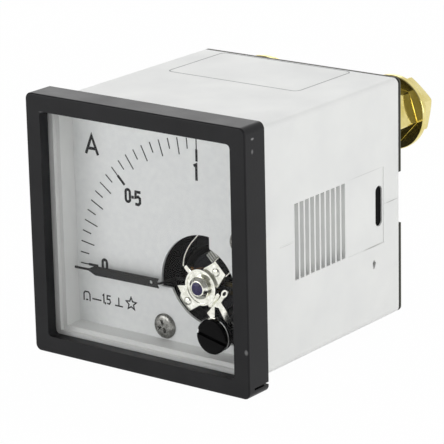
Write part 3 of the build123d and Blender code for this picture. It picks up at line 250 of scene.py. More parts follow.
materials = {
    "bezel_black": mouldedPlastic(  # ABS from a spark-eroded tool: satin black, broad soft highlights
        "blackAbsSatin",
        {
            "colour": "151517",
            "cloudColour": "1c1c1e",
            "cloudMm": 6.0,
            "grainMm": 0.35,
            "grainDepth": 0.012,
            "roughness": 0.38,
            "shine": 0.18,
            "marks": bezelMarks,
        },
    ),
    "case_white": mouldedPlastic(  # moulded polystyrene: cool white, faintly cloudy, low sheen
        "whitePolystyrene",
        {
            "colour": "e9eae8",
            "cloudColour": "e3e4e3",
            "cloudMm": 9.0,
            "grainMm": 0.5,
            "grainDepth": 0.006,
            "roughness": 0.45,
            "marks": casePaintedShade,
        },
    ),
    "carrier_black": mouldedPlastic(  # phenolic moulding: the darkest, dullest black in the meter
        "blackPhenolicMoulding",
        {
            "colour": "050506",
            "cloudColour": "0c0c0e",
            "cloudMm": 2.0,
            "grainMm": 0.25,
            "grainDepth": 0.004,
            "roughness": 0.55,
            "shine": 0.05,
        },
    ),
    "knob_black": mouldedPlastic(  # nylon from a polished tool: near black with a sharp glint
        "polishedBlackNylon",
        {
            "colour": "030303",
            "cloudColour": "070708",
            "cloudMm": 1.5,
            "grainMm": 0.3,
            "grainDepth": 0.004,
            "roughness": 0.14,
            "shine": 0.07,
        },
    ),
    "clip_grey": mouldedPlastic(  # plain nylon: pale dull grey
        "greyNylon",
        {
            "colour": "b4b4ae",
            "cloudColour": "c6c6c0",
            "cloudMm": 0.8,
            "grainMm": 0.2,
            "grainDepth": 0.01,
            "roughness": 0.45,
        },
    ),
    "back_black": mouldedPlastic(  # punched paper laminate: flat brown-black, with painted sheen in a pale band along its back edge
        "paperPhenolicLaminate",
        {
            "colour": "1b1b18",
            "cloudColour": "24231e",
            "cloudMm": 3.0,
            "grainMm": 0.4,
            "grainDepth": 0.01,
            "roughness": 0.5,
            "shine": 0.2,
            "sheenBandMiddle": 44.3,
            "sheenBandHalf": 0.35,
            "sheenBandColour": "57584c",
        },
    ),
    "window_clear": clearAcrylic(  # cast acrylic: colourless, only shifts what is behind it
        "clearAcrylicSheet",
        {
            "tint": "ffffff",
            "mirrorTint": "202020",
            "hazeMm": 8.0,
            "ior": 1.49,
            "roughness": (0.0, 0.01),
            "shine": 0.06,
        },
    ),
    "brass": workedMetal(  # turned and plated bar: pale yellow in the light, dark olive towards the plate
        "turnedBrass",
        {
            "colour": "f3e6a4",
            "patchColour": "dccb78",
            "patchMm": 2.5,
            "grainMm": 0.12,
            "depth": 0.002,
            "rings": (14.7, 12.9),
            "ringMm": 0.4,  # tool marks are finer than this, which is what shows in the render
            "roughness": (0.08, 0.18),
        },
    ),
    "steel": workedMetal(  # bright zinc plate: cool grey, a little cloudy
        "zincPlatedSteel",
        {
            "colour": "c9cacb",
            "patchColour": "aeb2b8",
            "patchMm": 0.8,
            "grainMm": 0.1,
            "depth": 0.003,
            "roughness": (0.22, 0.36),
        },
    ),
    "silver": workedMetal(  # nickel on a stamping: nearly white, with fine drawn streaks
        "nickelPlatedStamping",
        {
            "colour": "fafaf2",
            "patchColour": "dcdccf",
            "patchMm": 0.9,
            "grainMm": 0.12,
            "stretch": (1, 1, 4),
            "depth": 0.004,
            "roughness": (0.1, 0.2),
        },
    ),
    "screwGrey": workedMetal(  # zinc rubbed by the driver: mottled mid grey
        "greyZincScrewHead",
        {
            "colour": "9a9a96",
            "patchColour": "74736e",
            "patchMm": 0.7,
            "grainMm": 0.15,
            "depth": 0.008,
            "roughness": (0.24, 0.38),
        },
    ),
    "weightBronze": workedMetal(  # blackened brass: dark warm brown
        "blackenedBrass",
        {
            "colour": "4c452f",
            "patchColour": "363123",
            "patchMm": 0.5,
            "grainMm": 0.1,
            "depth": 0.003,
            "roughness": (0.35, 0.45),
        },
    ),
    "magnet": workedMetal(  # sintered and ground: dull, nearly black
        "groundSinteredMagnet",
        {
            "colour": "232326",
            "patchColour": "18181b",
            "patchMm": 0.5,
            "grainMm": 0.15,
            "depth": 0.01,
            "roughness": (0.35, 0.5),
        },
    ),
    "iron": workedMetal(  # plated soft iron: dark even grey
        "platedSoftIron",
        {
            "colour": "3a3a3c",
            "patchColour": "2a2a2d",
            "patchMm": 1.2,
            "grainMm": 0.15,
            "depth": 0.005,
            "roughness": (0.25, 0.4),
        },
    ),
    "copper": workedMetal(  # dark enamelled wire: brown with small glints
        "enamelledCopperWire",
        {
            "colour": "3f2011",
            "patchColour": "2e170b",
            "patchMm": 0.6,
            "grainMm": 0.1,
            "depth": 0.002,
            "roughness": (0.2, 0.32),
        },
    ),
    "former_aluminium": workedMetal(  # rolled sheet: pale, straight grain
        "rolledAluminium",
        {
            "colour": "cfd0d2",
            "patchColour": "bcbdbf",
            "patchMm": 0.9,
            "grainMm": 0.12,
            "stretch": (1, 4, 1),
            "depth": 0.004,
            "roughness": (0.28, 0.4),
        },
    ),
    "spring_bronze": workedMetal(  # phosphor bronze strip: warm orange brown
        "phosphorBronzeStrip",
        {
            "colour": "b98a4e",
            "patchColour": "a0713a",
            "patchMm": 0.5,
            "grainMm": 0.1,
            "depth": 0.002,
            "roughness": (0.2, 0.3),
        },
    ),
    "manganin": workedMetal(  # rolled resistance alloy: dull tan
        "rolledManganin",
        {
            "colour": "b0926c",
            "patchColour": "94764f",
            "patchMm": 1.4,
            "grainMm": 0.15,
            "stretch": (1, 4, 4),
            "depth": 0.004,
            "roughness": (0.28, 0.42),
        },
    ),
    "dial_white": coatedSkin(  # stoved enamel on sheet: even white, eggshell sheen
        "whiteEnamelOnAluminium",
        {
            "colour": "eceeed",
            "speckColour": "e6e8e8",
            "speckMm": 1.2,
            "depth": 0.003,
            "roughness": 0.6,
            "shine": 0.3,
        },
    ),
    "print_black": coatedSkin(  # screen print: dense black, slightly raised
        "screenPrintedInk",
        {
            "colour": "131315",
            "speckColour": "1d1d20",
            "speckMm": 0.15,
            "depth": 0.002,
            "roughness": 0.6,
            "shine": 0.3,
        },
    ),
    "pointer_black": coatedSkin(  # matt lacquer: dull black
        "mattBlackLacquer",
        {
            "colour": "0a0a0b",
            "speckColour": "131314",
            "speckMm": 0.2,
            "depth": 0.003,
            "roughness": 0.5,
            "shine": 0.3,
        },
    ),
    "seal_violet": coatedSkin(  # locknut lacquer: dark violet, unevenly laid
        "violetLocknutLacquer",
        {
            "colour": "140d33",
            "speckColour": "2a1f62",
            "speckMm": 0.3,
            "depth": 0.02,
            "roughness": 0.3,
            "shine": 0.3,
        },
    ),
    "resistor_ceramic": coatedSkin(  # vitreous enamel: grey green with a wet gloss
        "vitreousEnamel",
        {
            "colour": "7fae9c",
            "speckColour": "6d9c8a",
            "speckMm": 0.4,
            "depth": 0.006,
            "roughness": 0.3,
            "coat": 0.4,
        },
    ),
    "ruby": coatedSkin(  # ground corundum: deep red, glassy
        "syntheticRuby",
        {
            "colour": "8c1233",
            "speckColour": "a31a40",
            "speckMm": 0.3,
            "depth": 0.001,
            "roughness": 0.12,
            "ior": 1.77,
            "coat": 0.5,
        },
    ),
    "label_grey": coatedSkin(  # pad print: thin even grey
        "padPrintedGreyInk",
        {
            "colour": "9b9c9d",
            "speckColour": "a9aaab",
            "speckMm": 0.3,
            "depth": 0.002,
            "roughness": 0.55,
            "shine": 0.3,
        },
    ),
}
finishOf = slotOf | {"dial_screws": "screwGrey", "balance_weights": "weightBronze"}  # by node
for name, node in nodes.items():
    node.data.materials.clear()
    node.data.materials.append(materials[finishOf[name]])
print("materials made:", len(materials))


def addPiece(name, mesh, body, slot, replaced=()):
    piece = bpy.data.objects.new(name, mesh)
    bpy.context.scene.collection.objects.link(piece)
    if not mesh.materials:
        mesh.materials.append(materials[slot])
    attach(piece, body)
    if replaced:
        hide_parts(*replaced)
    return piece


weld = {"distance": 0.0005, "flatAngle": 0.5}  # millimetres, degrees


# A copy of a solid's mesh, and its triangles made one clean shape
def mergedCopy(name):
    mesh = nodes[name].data.copy()
    shape = bmesh.new()
    shape.from_mesh(mesh)
    bmesh.ops.remove_doubles(shape, verts=shape.verts, dist=weld["distance"] * mm)
    flat = math.radians(weld["flatAngle"])
    bmesh.ops.dissolve_limit(shape, angle_limit=flat, verts=shape.verts, edges=shape.edges)
    return mesh, shape


# Pieces whose real edges are rounded: a merged copy of the solid with bevels, in millimetres and degrees
rounding = {
    "segments": 2,
    "fromAngle": 38,
    "smoothUnder": 32,
    "widths": {
        "front_bridge": 0.07,
        "front_posts": 0.04,
        "zero_adjust_arm": 0.04,
        "front_jewel_screw": 0.06,
        "dial_screws": 0.05,
        "zero_adjust_screw": 0.07,
        "zero_screw_retainer": 0.08,
        "terminal_pillar_left": 0.18,
        "terminal_pillar_right": 0.18,
        "terminal_washer_left": 0.16,
        "terminal_washer_right": 0.16,
        "terminal_screw_left": 0.16,
        "terminal_screw_right": 0.16,
        "terminal_inner_nut_left": 0.12,
        "terminal_inner_nut_right": 0.12,
        "plate_screws": 0.06,
        "balance_weights": 0.05,
        "rear_bridge": 0.05,
        "yoke_ring": 0.15,
    },
}
for name, width in rounding["widths"].items():
    mesh, shape = mergedCopy(name)
    shape.to_mesh(mesh)
    shape.free()
    mesh.shade_smooth()
    mesh.set_sharp_from_angle(angle=math.radians(rounding["smoothUnder"]))
    piece = addPiece(name + "_finished", mesh, bodyOf[name], slotOf[name], [name])
    bevel = piece.modifiers.new("roundedEdge", "BEVEL")
    bevel.width = width * mm
    bevel.segments = rounding["segments"]
    bevel.limit_method = "ANGLE"
    bevel.angle_limit = math.radians(rounding["fromAngle"])
print("edges rounded:", len(rounding["widths"]))

# Ink on the dial: the printed lines spread a little past their nominal width, in millimetres
ink = {
    "spread": {"figures": 0.075, "symbols": 0.045, "ticks": 0.025},
    "tickRing": (22.8, 27.0),  # ticks lie between these distances from the pivot
    "symbolTop": -12.0,  # symbols lie below this height
    "upright": 0.5,  # a face is a side if its normal lies at least this far in the dial's plane
    "sameSide": 0.02,  # sides whose normals differ by less are one
    "mitre": 0.4,  # least divisor for a corner's move
}
nearest, farthest = ink["tickRing"]
pivot = Vector((8.0, 0, -8.6)) * mm
mesh, shape = mergedCopy("dial_markings")
shape.normal_update()
moves = []
for vertex in shape.verts:
    sides = []
    for face in vertex.link_faces:
        normal = Vector((face.normal.x, 0, face.normal.z))
        isNew = all((normal - other).length > ink["sameSide"] for other in sides)
        if normal.length > ink["upright"] and isNew:
            sides.append(normal.normalized())
    flat = Vector((vertex.co.x - pivot.x, 0, vertex.co.z - pivot.z)).length / mm
    if vertex.co.z < ink["symbolTop"] * mm:
        kind = "symbols"
    else:
        kind = "ticks" if nearest < flat < farthest else "figures"
    if len(sides) == 2:
        mitre = (sides[0] + sides[1]) / max(1 + sides[0].dot(sides[1]), ink["mitre"])
    else:
        mitre = sides[0] if sides else Vector()
    moves.append((vertex, mitre * ink["spread"][kind] * mm))
for vertex, move in moves:
    vertex.co += move
shape.to_mesh(mesh)
shape.free()
addPiece("dial_ink", mesh, "housing", "print_black", ["dial_markings"])
print("dial printed")

# Liners of black sheet inside both side walls, behind the vents and the clamp slots: they close the view
# through the case, and their black is painted shade that stands for the shade inside it
liner = {
    "inner": 20.1,
    "thickness": 0.3,
    "start": 8.6,
    "end": 41.0,
    "half": 11.5,
    "corner": 2.0,
    "bow": 0.12,
    "steps": 12,
}
for sideName, side in (("left", -1), ("right", 1)):
    points, faces = [], []
    for step in range(liner["steps"] + 1):
        share = step / liner["steps"]
        depth = liner["start"] + (liner["end"] - liner["start"]) * share
        inset = liner["corner"] if step in (0, liner["steps"]) else 0
        reach = side * (liner["inner"] - liner["bow"] * math.sin(math.pi * share))
        for height in (-liner["half"] + inset, liner["half"] - inset):
            points.append(Vector((reach, depth, height)) * mm)
    for step in range(liner["steps"]):
        quad = (2 * step, 2 * step + 1, 2 * step + 3, 2 * step + 2)
        faces.append(quad if side > 0 else quad[::-1])
    mesh = bpy.data.meshes.new("shade_liner_" + sideName)
    mesh.from_pydata(points, [], faces)
    sheet = addPiece("shade_liner_" + sideName, mesh, "housing", "carrier_black")
    wall = sheet.modifiers.new("thickness", "SOLIDIFY")
    wall.thickness = liner["thickness"] * mm
    wall.offset = 0
print("liners cut")

# Thin black plates a little way inside the clamp slots, one on each side: painted shade, dark sheets that
# stand for the shade in the slots
slotShadePlate = {
    "depth": 37.05,
    "height": -0.2,
    "length": 7.5,
    "width": 2.0,
    "outer": 21.85,
    "thickness": 0.2,
    "steps": 10,
}
for sideName, side in (("left", -1), ("right", 1)):
    radius = slotShadePlate["width"] / 2
    points = []
    for reach in (slotShadePlate["outer"], slotShadePlate["outer"] - slotShadePlate["thickness"]):
        for end in (1, -1):
            for step in range(slotShadePlate["steps"] + 1):
                angle = math.pi * step / slotShadePlate["steps"] + (0 if end > 0 else math.pi)
                rimY = slotShadePlate["depth"] + radius * math.cos(angle)
                rimZ = slotShadePlate["height"] + end * (slotShadePlate["length"] / 2 - radius) + radius * math.sin(angle)
                points.append(Vector((side * reach, rimY, rimZ)) * mm)
    count = len(points) // 2
    faces = [tuple(range(count)), tuple(range(2 * count - 1, count - 1, -1))]
    for spot in range(count):
        after = (spot + 1) % count
        faces.append((after, spot, count + spot, count + after))
    mesh = bpy.data.meshes.new("clamp_slot_shade_plate_" + sideName)
    mesh.from_pydata(points, [], faces if side > 0 else [face[::-1] for face in faces])
    addPiece("clamp_slot_shade_plate_" + sideName, mesh, "housing", "carrier_black")
print("slot shutters set")

# The bridge lies at this turn, and its small parts are set out along it and across it
bridgeTurn = math.radians(45.0)
along = Vector((math.cos(bridgeTurn), 0, math.sin(bridgeTurn)))
across = Vector((-math.sin(bridgeTurn), 0, math.cos(bridgeTurn)))

# Thin bright edges of the bridge's turned-down end, on both sides of the black block under it
bridgeEdges = {
    "start": 5.8,
    "end": 7.25,
    "sides": (1.52, -1.78),
    "width": 0.13,
    "farWidth": 0.6,  # share of the width that is left at the far end
    "front": 3.05,
    "back": 3.3,
    "round": 0.03,
    "segments": 2,
}
mesh = bpy.data.meshes.new("bridge_edge_strips")
shape = bmesh.new()
for middle in bridgeEdges["sides"]:
    bar = bmesh.ops.create_cube(shape, size=1.0)["verts"]
    for vertex in bar:
        reach = bridgeEdges["start"] + (bridgeEdges["end"] - bridgeEdges["start"]) * (vertex.co.x + 0.5)
        taper = 1.0 if vertex.co.x < 0 else bridgeEdges["farWidth"]
        wide = middle + bridgeEdges["width"] * vertex.co.z * taper
        depth = bridgeEdges["front"] + (bridgeEdges["back"] - bridgeEdges["front"]) * (vertex.co.y + 0.5)
        vertex.co = pivot + (along * reach + across * wide + Vector((0, depth, 0))) * mm
bmesh.ops.recalc_face_normals(shape, faces=shape.faces)
edgeRound = {"offset": bridgeEdges["round"] * mm, "segments": bridgeEdges["segments"]}
bmesh.ops.bevel(shape, geom=shape.edges[:], affect="EDGES", **edgeRound)
shape.to_mesh(mesh)
shape.free()
addPiece("bridge_edge_strips", mesh, "housing", "silver")
print("bridge edges set")

# Movement lead: one smooth wire from the solder tag to the bridge, along the solid's route in millimetres
lead = {
    "radius": 0.16,
    "roundness": 3,
    "steps": 8,
    "route": [
        (14.7, 40.76, 2.7),
        (14.7, 40.76, -0.3),
        (13.9, 31.0, 0.6),
        (13.2, 23.5, 2.1),
        (8.6, 16.0, 3.0),
        (6.8, 12.0, 3.2),
        (6.8, 8.0, 3.2),
        (6.8, 5.55, 3.2),
        (6.8, 5.41, 2.6),
        (6.3, 5.41, 0.7),
        (5.3, 5.41, -0.6),
        (4.0, 5.41, -1.95),
        (2.95, 5.41, -3.7),
        (2.38, 5.41, -5.2),
        (2.3, 5.41, -6.3),
    ],
}
wire = bpy.data.curves.new("leadCurve", "CURVE")
wire.dimensions = "3D"
wire.bevel_depth = lead["radius"] * mm
wire.bevel_resolution = lead["roundness"]
wire.use_fill_caps = True
spline = wire.splines.new("NURBS")
spline.points.add(len(lead["route"]) - 1)
for point, spot in zip(spline.points, lead["route"]):
    point.co = (*(Vector(spot) * mm), 1.0)
spline.order_u = 3
spline.use_endpoint_u = True
spline.resolution_u = lead["steps"]
holder = bpy.data.objects.new("leadCurve", wire)
bpy.context.scene.collection.objects.link(holder)
mesh = bpy.data.meshes.new_from_object(holder.evaluated_get(bpy.context.evaluated_depsgraph_get()))
bpy.data.objects.remove(holder)
mesh.shade_smooth()
mesh.materials.clear()
addPiece("movement_lead_wire", mesh, "housing", "silver", ["movement_lead"])
print("lead bent")


# A tree with a named input for each length and each count of its piece
def makeTree(name, piece):
    tree = bpy.data.node_groups.new(name, "GeometryNodeTree")
    tree.interface.new_socket("Geometry", in_out="INPUT", socket_type="NodeSocketGeometry")
    for label in piece["lengths"]:
        tree.interface.new_socket(label, in_out="INPUT", socket_type="NodeSocketFloat")
    for label in piece["counts"]:
        tree.interface.new_socket(label, in_out="INPUT", socket_type="NodeSocketInt")
    tree.interface.new_socket("Geometry", in_out="OUTPUT", socket_type="NodeSocketGeometry")
    return tree, addNode(tree, "NodeGroupInput").outputs


# The end of a tree: plain geometry in one material, or only the chosen faces of it in that material
def closeTree(tree, geometry, slot, chosen=True):
    solid = addNode(tree, "GeometryNodeRealizeInstances", {0: geometry}).outputs[0]
    cover = {"Geometry": solid, "Selection": chosen, "Material": materials[slot]}
    addNode(tree, "NodeGroupOutput", {0: addNode(tree, "GeometryNodeSetMaterial", cover).outputs[0]})


def meshFromTree(name, tree, piece, placed):
    holder = bpy.data.objects.new(name + "Source", bpy.data.meshes.new(name + "Source"))
    bpy.context.scene.collection.objects.link(holder)
    modifier = holder.modifiers.new("build", "NODES")
    modifier.node_group = tree
    keys = {item.name: item.identifier for item in tree.interface.items_tree if item.in_out == "INPUT"}
    for label, value in piece["lengths"].items():
        modifier[keys[label]] = value * mm
    for label, value in piece["counts"].items():
        modifier[keys[label]] = value
    evaluated = holder.evaluated_get(bpy.context.evaluated_depsgraph_get())
    mesh = bpy.data.meshes.new_from_object(evaluated)
    holder.modifiers.clear()
    bpy.data.objects.remove(holder)
    mesh.transform(placed)
    mesh.name = name
    return mesh


# Moving coil: layers of enamelled wire wound round the former, each layer's loops larger than the last
coil = {
    "pivot": (8.0, 11.2, -8.6),
    "turnedBy": 180.6,
    "lengths": {"Loop Width": 12.0, "Loop Depth": 9.6, "Corner": 0.35, "Wire": 0.125},
    "counts": {"Columns": 10, "Layers": 4, "Corner Steps": 3, "Wire Sides": 6},
}
tree, given = makeTree("coilTurns", coil)
spans = []
for count in ("Columns", "Layers"):
    gaps = addNode(tree, "ShaderNodeMath", {0: given[count], 1: 1.0}, operation="SUBTRACT").outputs[0]
    packed = {0: gaps, 1: given["Wire"]}
    spans.append(addNode(tree, "ShaderNodeMath", packed, operation="MULTIPLY").outputs[0])
grid = {"Size X": spans[0], "Size Y": spans[1]}
grid |= {"Vertices X": given["Columns"], "Vertices Y": given["Layers"]}
starts = addNode(tree, "GeometryNodeMeshGrid", grid).outputs["Mesh"]
spot = addNode(tree, "GeometryNodeInputPosition").outputs[0]
spotParts = addNode(tree, "ShaderNodeSeparateXYZ", {0: spot}).outputs
doubled = addNode(tree, "ShaderNodeMath", {0: spotParts["Y"], 1: 2.0}, operation="MULTIPLY").outputs[0]
growth = []
for side in ("Loop Width", "Loop Depth"):
    share = addNode(tree, "ShaderNodeMath", {0: doubled, 1: given[side]}, operation="DIVIDE").outputs[0]
    growth.append(addNode(tree, "ShaderNodeMath", {0: share, 1: 1.0}, operation="ADD").outputs[0])
grown = addNode(tree, "ShaderNodeCombineXYZ", {"X": growth[0], "Y": growth[1], "Z": 1.0}).outputs[0]
noted = {"Geometry": starts, "Name": "grown", "Value": grown}
vectorKind = {"data_type": "FLOAT_VECTOR"}
kept = addNode(tree, "GeometryNodeStoreNamedAttribute", noted, domain="POINT", **vectorKind).outputs[0]
column = addNode(tree, "ShaderNodeCombineXYZ", {"Z": spotParts["X"]}).outputs[0]
moved = addNode(tree, "GeometryNodeSetPosition", {"Geometry": kept, "Position": column}).outputs[0]
loopSizes = {"Width": given["Loop Width"], "Height": given["Loop Depth"]}
loop = addNode(tree, "GeometryNodeCurvePrimitiveQuadrilateral", loopSizes, mode="RECTANGLE").outputs[0]
bend = {"Curve": loop, "Radius": given["Corner"], "Count": given["Corner Steps"]}
oneTurn = addNode(tree, "GeometryNodeFilletCurve", bend, mode="POLY").outputs[0]
stored = addNode(tree, "GeometryNodeInputNamedAttribute", {"Name": "grown"}, **vectorKind).outputs[0]
turns = {"Points": moved, "Instance": oneTurn, "Scale": stored}
placedTurns = addNode(tree, "GeometryNodeInstanceOnPoints", turns).outputs[0]
paths = addNode(tree, "GeometryNodeRealizeInstances", {0: placedTurns}).outputs[0]
halfWire = addNode(tree, "ShaderNodeMath", {0: given["Wire"], 1: 0.5}, operation="MULTIPLY").outputs[0]
wireRing = {"Resolution": given["Wire Sides"], "Radius": halfWire}
section = addNode(tree, "GeometryNodeCurvePrimitiveCircle", wireRing).outputs[0]
wires = addNode(tree, "GeometryNodeCurveToMesh", {"Curve": paths, "Profile Curve": section}).outputs[0]
closeTree(tree, wires, "copper")
coilTurn = math.radians(coil["turnedBy"])
outwards = Vector((math.cos(coilTurn), 0, math.sin(coilTurn)))
depthways = Vector((0, 1, 0))
coilPlace = Matrix((outwards, depthways, outwards.cross(depthways))).transposed().to_4x4()
coilPlace.translation = Vector(coil["pivot"]) * mm
coilMesh = meshFromTree("coil_turns", tree, coil, coilPlace)
addPiece("coil_turns", coilMesh, "movement", "copper", ["coil_winding"])
print("coil wound:", len(coilMesh.polygons), "faces")

# Ribbed clip beside the bridge: pale ribs on a dark base, placed along and across the bridge from the pivot
clip = {
    "along": 6.0,
    "across": 2.6,
    "front": 3.2,
    "lengths": {"Length": 1.8, "Width": 1.7, "Base Depth": 0.45, "Rib Depth": 0.3, "Rib Width": 0.24},
    "counts": {"Ribs": 4},
}
tree, given = makeTree("clipRibs", clip)
ends = {0: given["Length"], 1: given["Rib Width"]}
reach = addNode(tree, "ShaderNodeMath", ends, operation="SUBTRACT").outputs[0]
gaps = addNode(tree, "ShaderNodeMath", {0: given["Ribs"], 1: 1.0}, operation="SUBTRACT").outputs[0]
pitch = addNode(tree, "ShaderNodeMath", {0: reach, 1: gaps}, operation="DIVIDE").outputs[0]
firstAlong = addNode(tree, "ShaderNodeMath", {0: reach, 1: -0.5}, operation="MULTIPLY").outputs[0]
ribMiddle = addNode(tree, "ShaderNodeMath", {0: given["Rib Depth"], 1: 0.5}, operation="MULTIPLY").outputs[0]
firstRib = addNode(tree, "ShaderNodeCombineXYZ", {"X": firstAlong, "Z": ribMiddle}).outputs[0]
nextRib = addNode(tree, "ShaderNodeCombineXYZ", {"X": pitch}).outputs[0]
row = {"Count": given["Ribs"], "Start Location": firstRib, "Offset": nextRib}
places = addNode(tree, "GeometryNodeMeshLine", row).outputs[0]
ribSize = {"X": given["Rib Width"], "Y": given["Width"], "Z": given["Rib Depth"]}
ribBox = addNode(tree, "ShaderNodeCombineXYZ", ribSize).outputs[0]
rib = addNode(tree, "GeometryNodeMeshCube", {"Size": ribBox}).outputs[0]
ribs = addNode(tree, "GeometryNodeInstanceOnPoints", {"Points": places, "Instance": rib}).outputs[0]
baseSize = {"X": given["Length"], "Y": given["Width"], "Z": given["Base Depth"]}
baseBox = addNode(tree, "ShaderNodeCombineXYZ", baseSize).outputs[0]
base = addNode(tree, "GeometryNodeMeshCube", {"Size": baseBox}).outputs[0]
sunk = {0: given["Base Depth"], 1: -0.5}
baseMiddle = addNode(tree, "ShaderNodeMath", sunk, operation="MULTIPLY").outputs[0]
down = addNode(tree, "ShaderNodeCombineXYZ", {"Z": baseMiddle}).outputs[0]
seat = addNode(tree, "GeometryNodeTransform", {"Geometry": base, "Translation": down}).outputs[0]
darkened = {"Geometry": seat, "Material": materials["carrier_black"]}
dark = addNode(tree, "GeometryNodeSetMaterial", darkened).outputs[0]
both = addNode(tree, "GeometryNodeJoinGeometry", {0: ribs})
tree.links.new(dark, both.inputs[0])
faceSpot = addNode(tree, "GeometryNodeInputPosition").outputs[0]
faceHeight = addNode(tree, "ShaderNodeSeparateXYZ", {0: faceSpot}).outputs["Z"]
above = {"A": faceHeight, "B": 0.0}
onRib = addNode(tree, "FunctionNodeCompare", above, operation="GREATER_THAN").outputs[0]
closeTree(tree, both.outputs[0], "clip_grey", onRib)
clipPlace = Matrix((along, across, Vector((0, -1, 0)))).transposed().to_4x4()
clipFoot = pivot / mm + along * clip["along"] + across * clip["across"]
clipPlace.translation = (clipFoot + Vector((0, clip["front"] + clip["lengths"]["Rib Depth"], 0))) * mm
clipMesh = meshFromTree("ribbed_clip", tree, clip, clipPlace)
addPiece("ribbed_clip", clipMesh, "housing", "clip_grey", ["bridge_clip"])
print("clip ribbed")

# Border printed on the top of the case
border = {
    "centre": (-2.2, 34.4, 22.2),
    "lengths": {"Width": 29.2, "Length": 17.2, "Corner": 1.2, "Line": 0.28, "Ink": 0.02},
    "counts": {"Corner Steps": 8},
}
tree, given = makeTree("printedBorder", border)
outlineSizes = {"Width": given["Width"], "Height": given["Length"]}
outline = addNode(tree, "GeometryNodeCurvePrimitiveQuadrilateral", outlineSizes, mode="RECTANGLE").outputs[0]
bend = {"Curve": outline, "Radius": given["Corner"], "Count": given["Corner Steps"]}
rounded = addNode(tree, "GeometryNodeFilletCurve", bend, mode="POLY").outputs[0]
lineSizes = {"Width": given["Line"], "Height": given["Ink"]}
section = addNode(tree, "GeometryNodeCurvePrimitiveQuadrilateral", lineSizes, mode="RECTANGLE").outputs[0]
ribbon = addNode(tree, "GeometryNodeCurveToMesh", {"Curve": rounded, "Profile Curve": section}).outputs[0]
closeTree(tree, ribbon, "label_grey")
borderPlace = Matrix.Translation(Vector(border["centre"]) * mm)
borderMesh = meshFromTree("top_print_border", tree, border, borderPlace)
addPiece("top_print_border", borderMesh, "housing", "print_black")
print("border printed")

# Floor: white, and nearly as bright to the camera and in mirrors as the background, with a trace of shadow
floor = {"half": 2500.0, "height": -24.0, "colour": "efefef", "seenWhite": 0.985}
floorMesh = bpy.data.meshes.new("floor")
half = floor["half"]
corners = [(-half, -half), (half, -half), (half, half), (-half, half)]
floorMesh.from_pydata([Vector((x, y, floor["height"])) * mm for x, y in corners], [], [(0, 1, 2, 3)])
floorObject = bpy.data.objects.new("floor", floorMesh)
bpy.context.scene.collection.objects.link(floorObject)
material, tree, _ = startMaterial("paleFloor")
matt = addNode(tree, "ShaderNodeBsdfDiffuse", {"Color": hexColour(floor["colour"])}).outputs[0]
white = addNode(tree, "ShaderNodeEmission", {"Strength": 1.0}).outputs[0]
rays = addNode(tree, "ShaderNodeLightPath").outputs
mirrored = {0: rays["Is Glossy Ray"], 1: rays["Is Transmission Ray"]}
mirroredRays = addNode(tree, "ShaderNodeMath", mirrored, operation="MAXIMUM").outputs[0]
seenRays = {0: rays["Is Camera Ray"], 1: mirroredRays}
seen = addNode(tree, "ShaderNodeMath", seenRays, operation="MAXIMUM").outputs[0]
whitened = {0: seen, 1: floor["seenWhite"]}
whiteShare = addNode(tree, "ShaderNodeMath", whitened, operation="MULTIPLY").outputs[0]
shown = addNode(tree, "ShaderNodeMixShader", {0: whiteShare, 1: matt, 2: white}).outputs[0]
floorMesh.materials.append(finishMaterial(material, tree, shown))

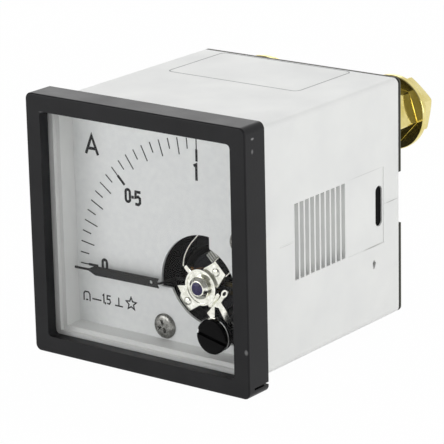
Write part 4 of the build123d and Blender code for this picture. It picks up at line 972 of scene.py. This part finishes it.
# World: white to the camera; in gloss and in the light it gives, bright behind the object and dim in front
room = {"behind": 0.9, "front": 0.26, "turn": 0.6, "litBehind": 1.12, "litFront": 0.36}
world = bpy.data.worlds.new("studio")
bpy.context.scene.world = world
world.use_nodes = True
tree = world.node_tree
tree.nodes.clear()
direction = addNode(tree, "ShaderNodeTexCoord").outputs["Generated"]
forward = addNode(tree, "ShaderNodeSeparateXYZ", {0: direction}).outputs["Y"]
levels = []
for front, behind in (("front", "behind"), ("litFront", "litBehind")):
    fall = {"Value": forward, "From Min": -room["turn"], "From Max": room["turn"]}
    fall |= {"To Min": room[front], "To Max": room[behind]}
    levels.append(addNode(tree, "ShaderNodeMapRange", fall, interpolation_type="SMOOTHSTEP").outputs[0])
rays = addNode(tree, "ShaderNodeLightPath").outputs
lighting = {0: rays["Is Diffuse Ray"], 2: levels[0], 3: levels[1]}
lit = addNode(tree, "ShaderNodeMix", lighting).outputs[0]
level = addNode(tree, "ShaderNodeMath", {0: lit, 1: rays["Is Camera Ray"]}, operation="MAXIMUM").outputs[0]
sky = addNode(tree, "ShaderNodeBackground", {"Color": (1, 1, 1, 1), "Strength": level}).outputs[0]
addNode(tree, "ShaderNodeOutputWorld", {"Surface": sky})

# Lamps: soft boxes, in millimetres and watts
lamps = {
    "leftBox": {"place": (-330, -520, 60), "size": 380, "power": 1.72},
    "rightBox": {"place": (640, -60, 100), "size": 380, "power": 1.2},
    "backBox": {"place": (-430, 560, 230), "size": 420, "power": 0.45},
}
for name, lamp in lamps.items():
    light = bpy.data.lights.new(name, "AREA")
    light.shape = "SQUARE"
    light.size = lamp["size"] * mm
    light.energy = lamp["power"]
    lampObject = bpy.data.objects.new(name, light)
    lampObject.location = Vector(lamp["place"]) * mm
    lampObject.visible_camera = False
    lampObject.rotation_mode = "QUATERNION"
    lampObject.rotation_quaternion = (-lampObject.location).to_track_quat("-Z", "Y")
    bpy.context.scene.collection.objects.link(lampObject)

# Camera at the photograph's place, in millimetres
view = {
    "place": (284.25, -354.15, 139.19),
    "right": (0.79947, 0.60031, -0.02169),
    "up": (-0.15679, 0.24338, 0.95718),
    "forward": (-0.57987, 0.76185, -0.28870),
    "lens": 220.19,
    "sensor": 36.0,
    "clip": (0.01, 20.0),  # metres
}
cameraData = bpy.data.cameras.new("photoCamera")
cameraData.sensor_fit = "HORIZONTAL"
cameraData.sensor_width = view["sensor"]
cameraData.lens = view["lens"]
cameraData.clip_start, cameraData.clip_end = view["clip"]
camera = bpy.data.objects.new("photoCamera", cameraData)
bpy.context.scene.collection.objects.link(camera)
turnedTo = Matrix((Vector(view["right"]), Vector(view["up"]), -Vector(view["forward"]))).transposed()
camera.matrix_world = Matrix.Translation(Vector(view["place"]) * mm) @ turnedTo.to_4x4()
bpy.context.scene.camera = camera
bpy.context.scene.view_settings.view_transform = "Standard"
print("stage, lamps and camera set")

bpy.context.view_layer.update()
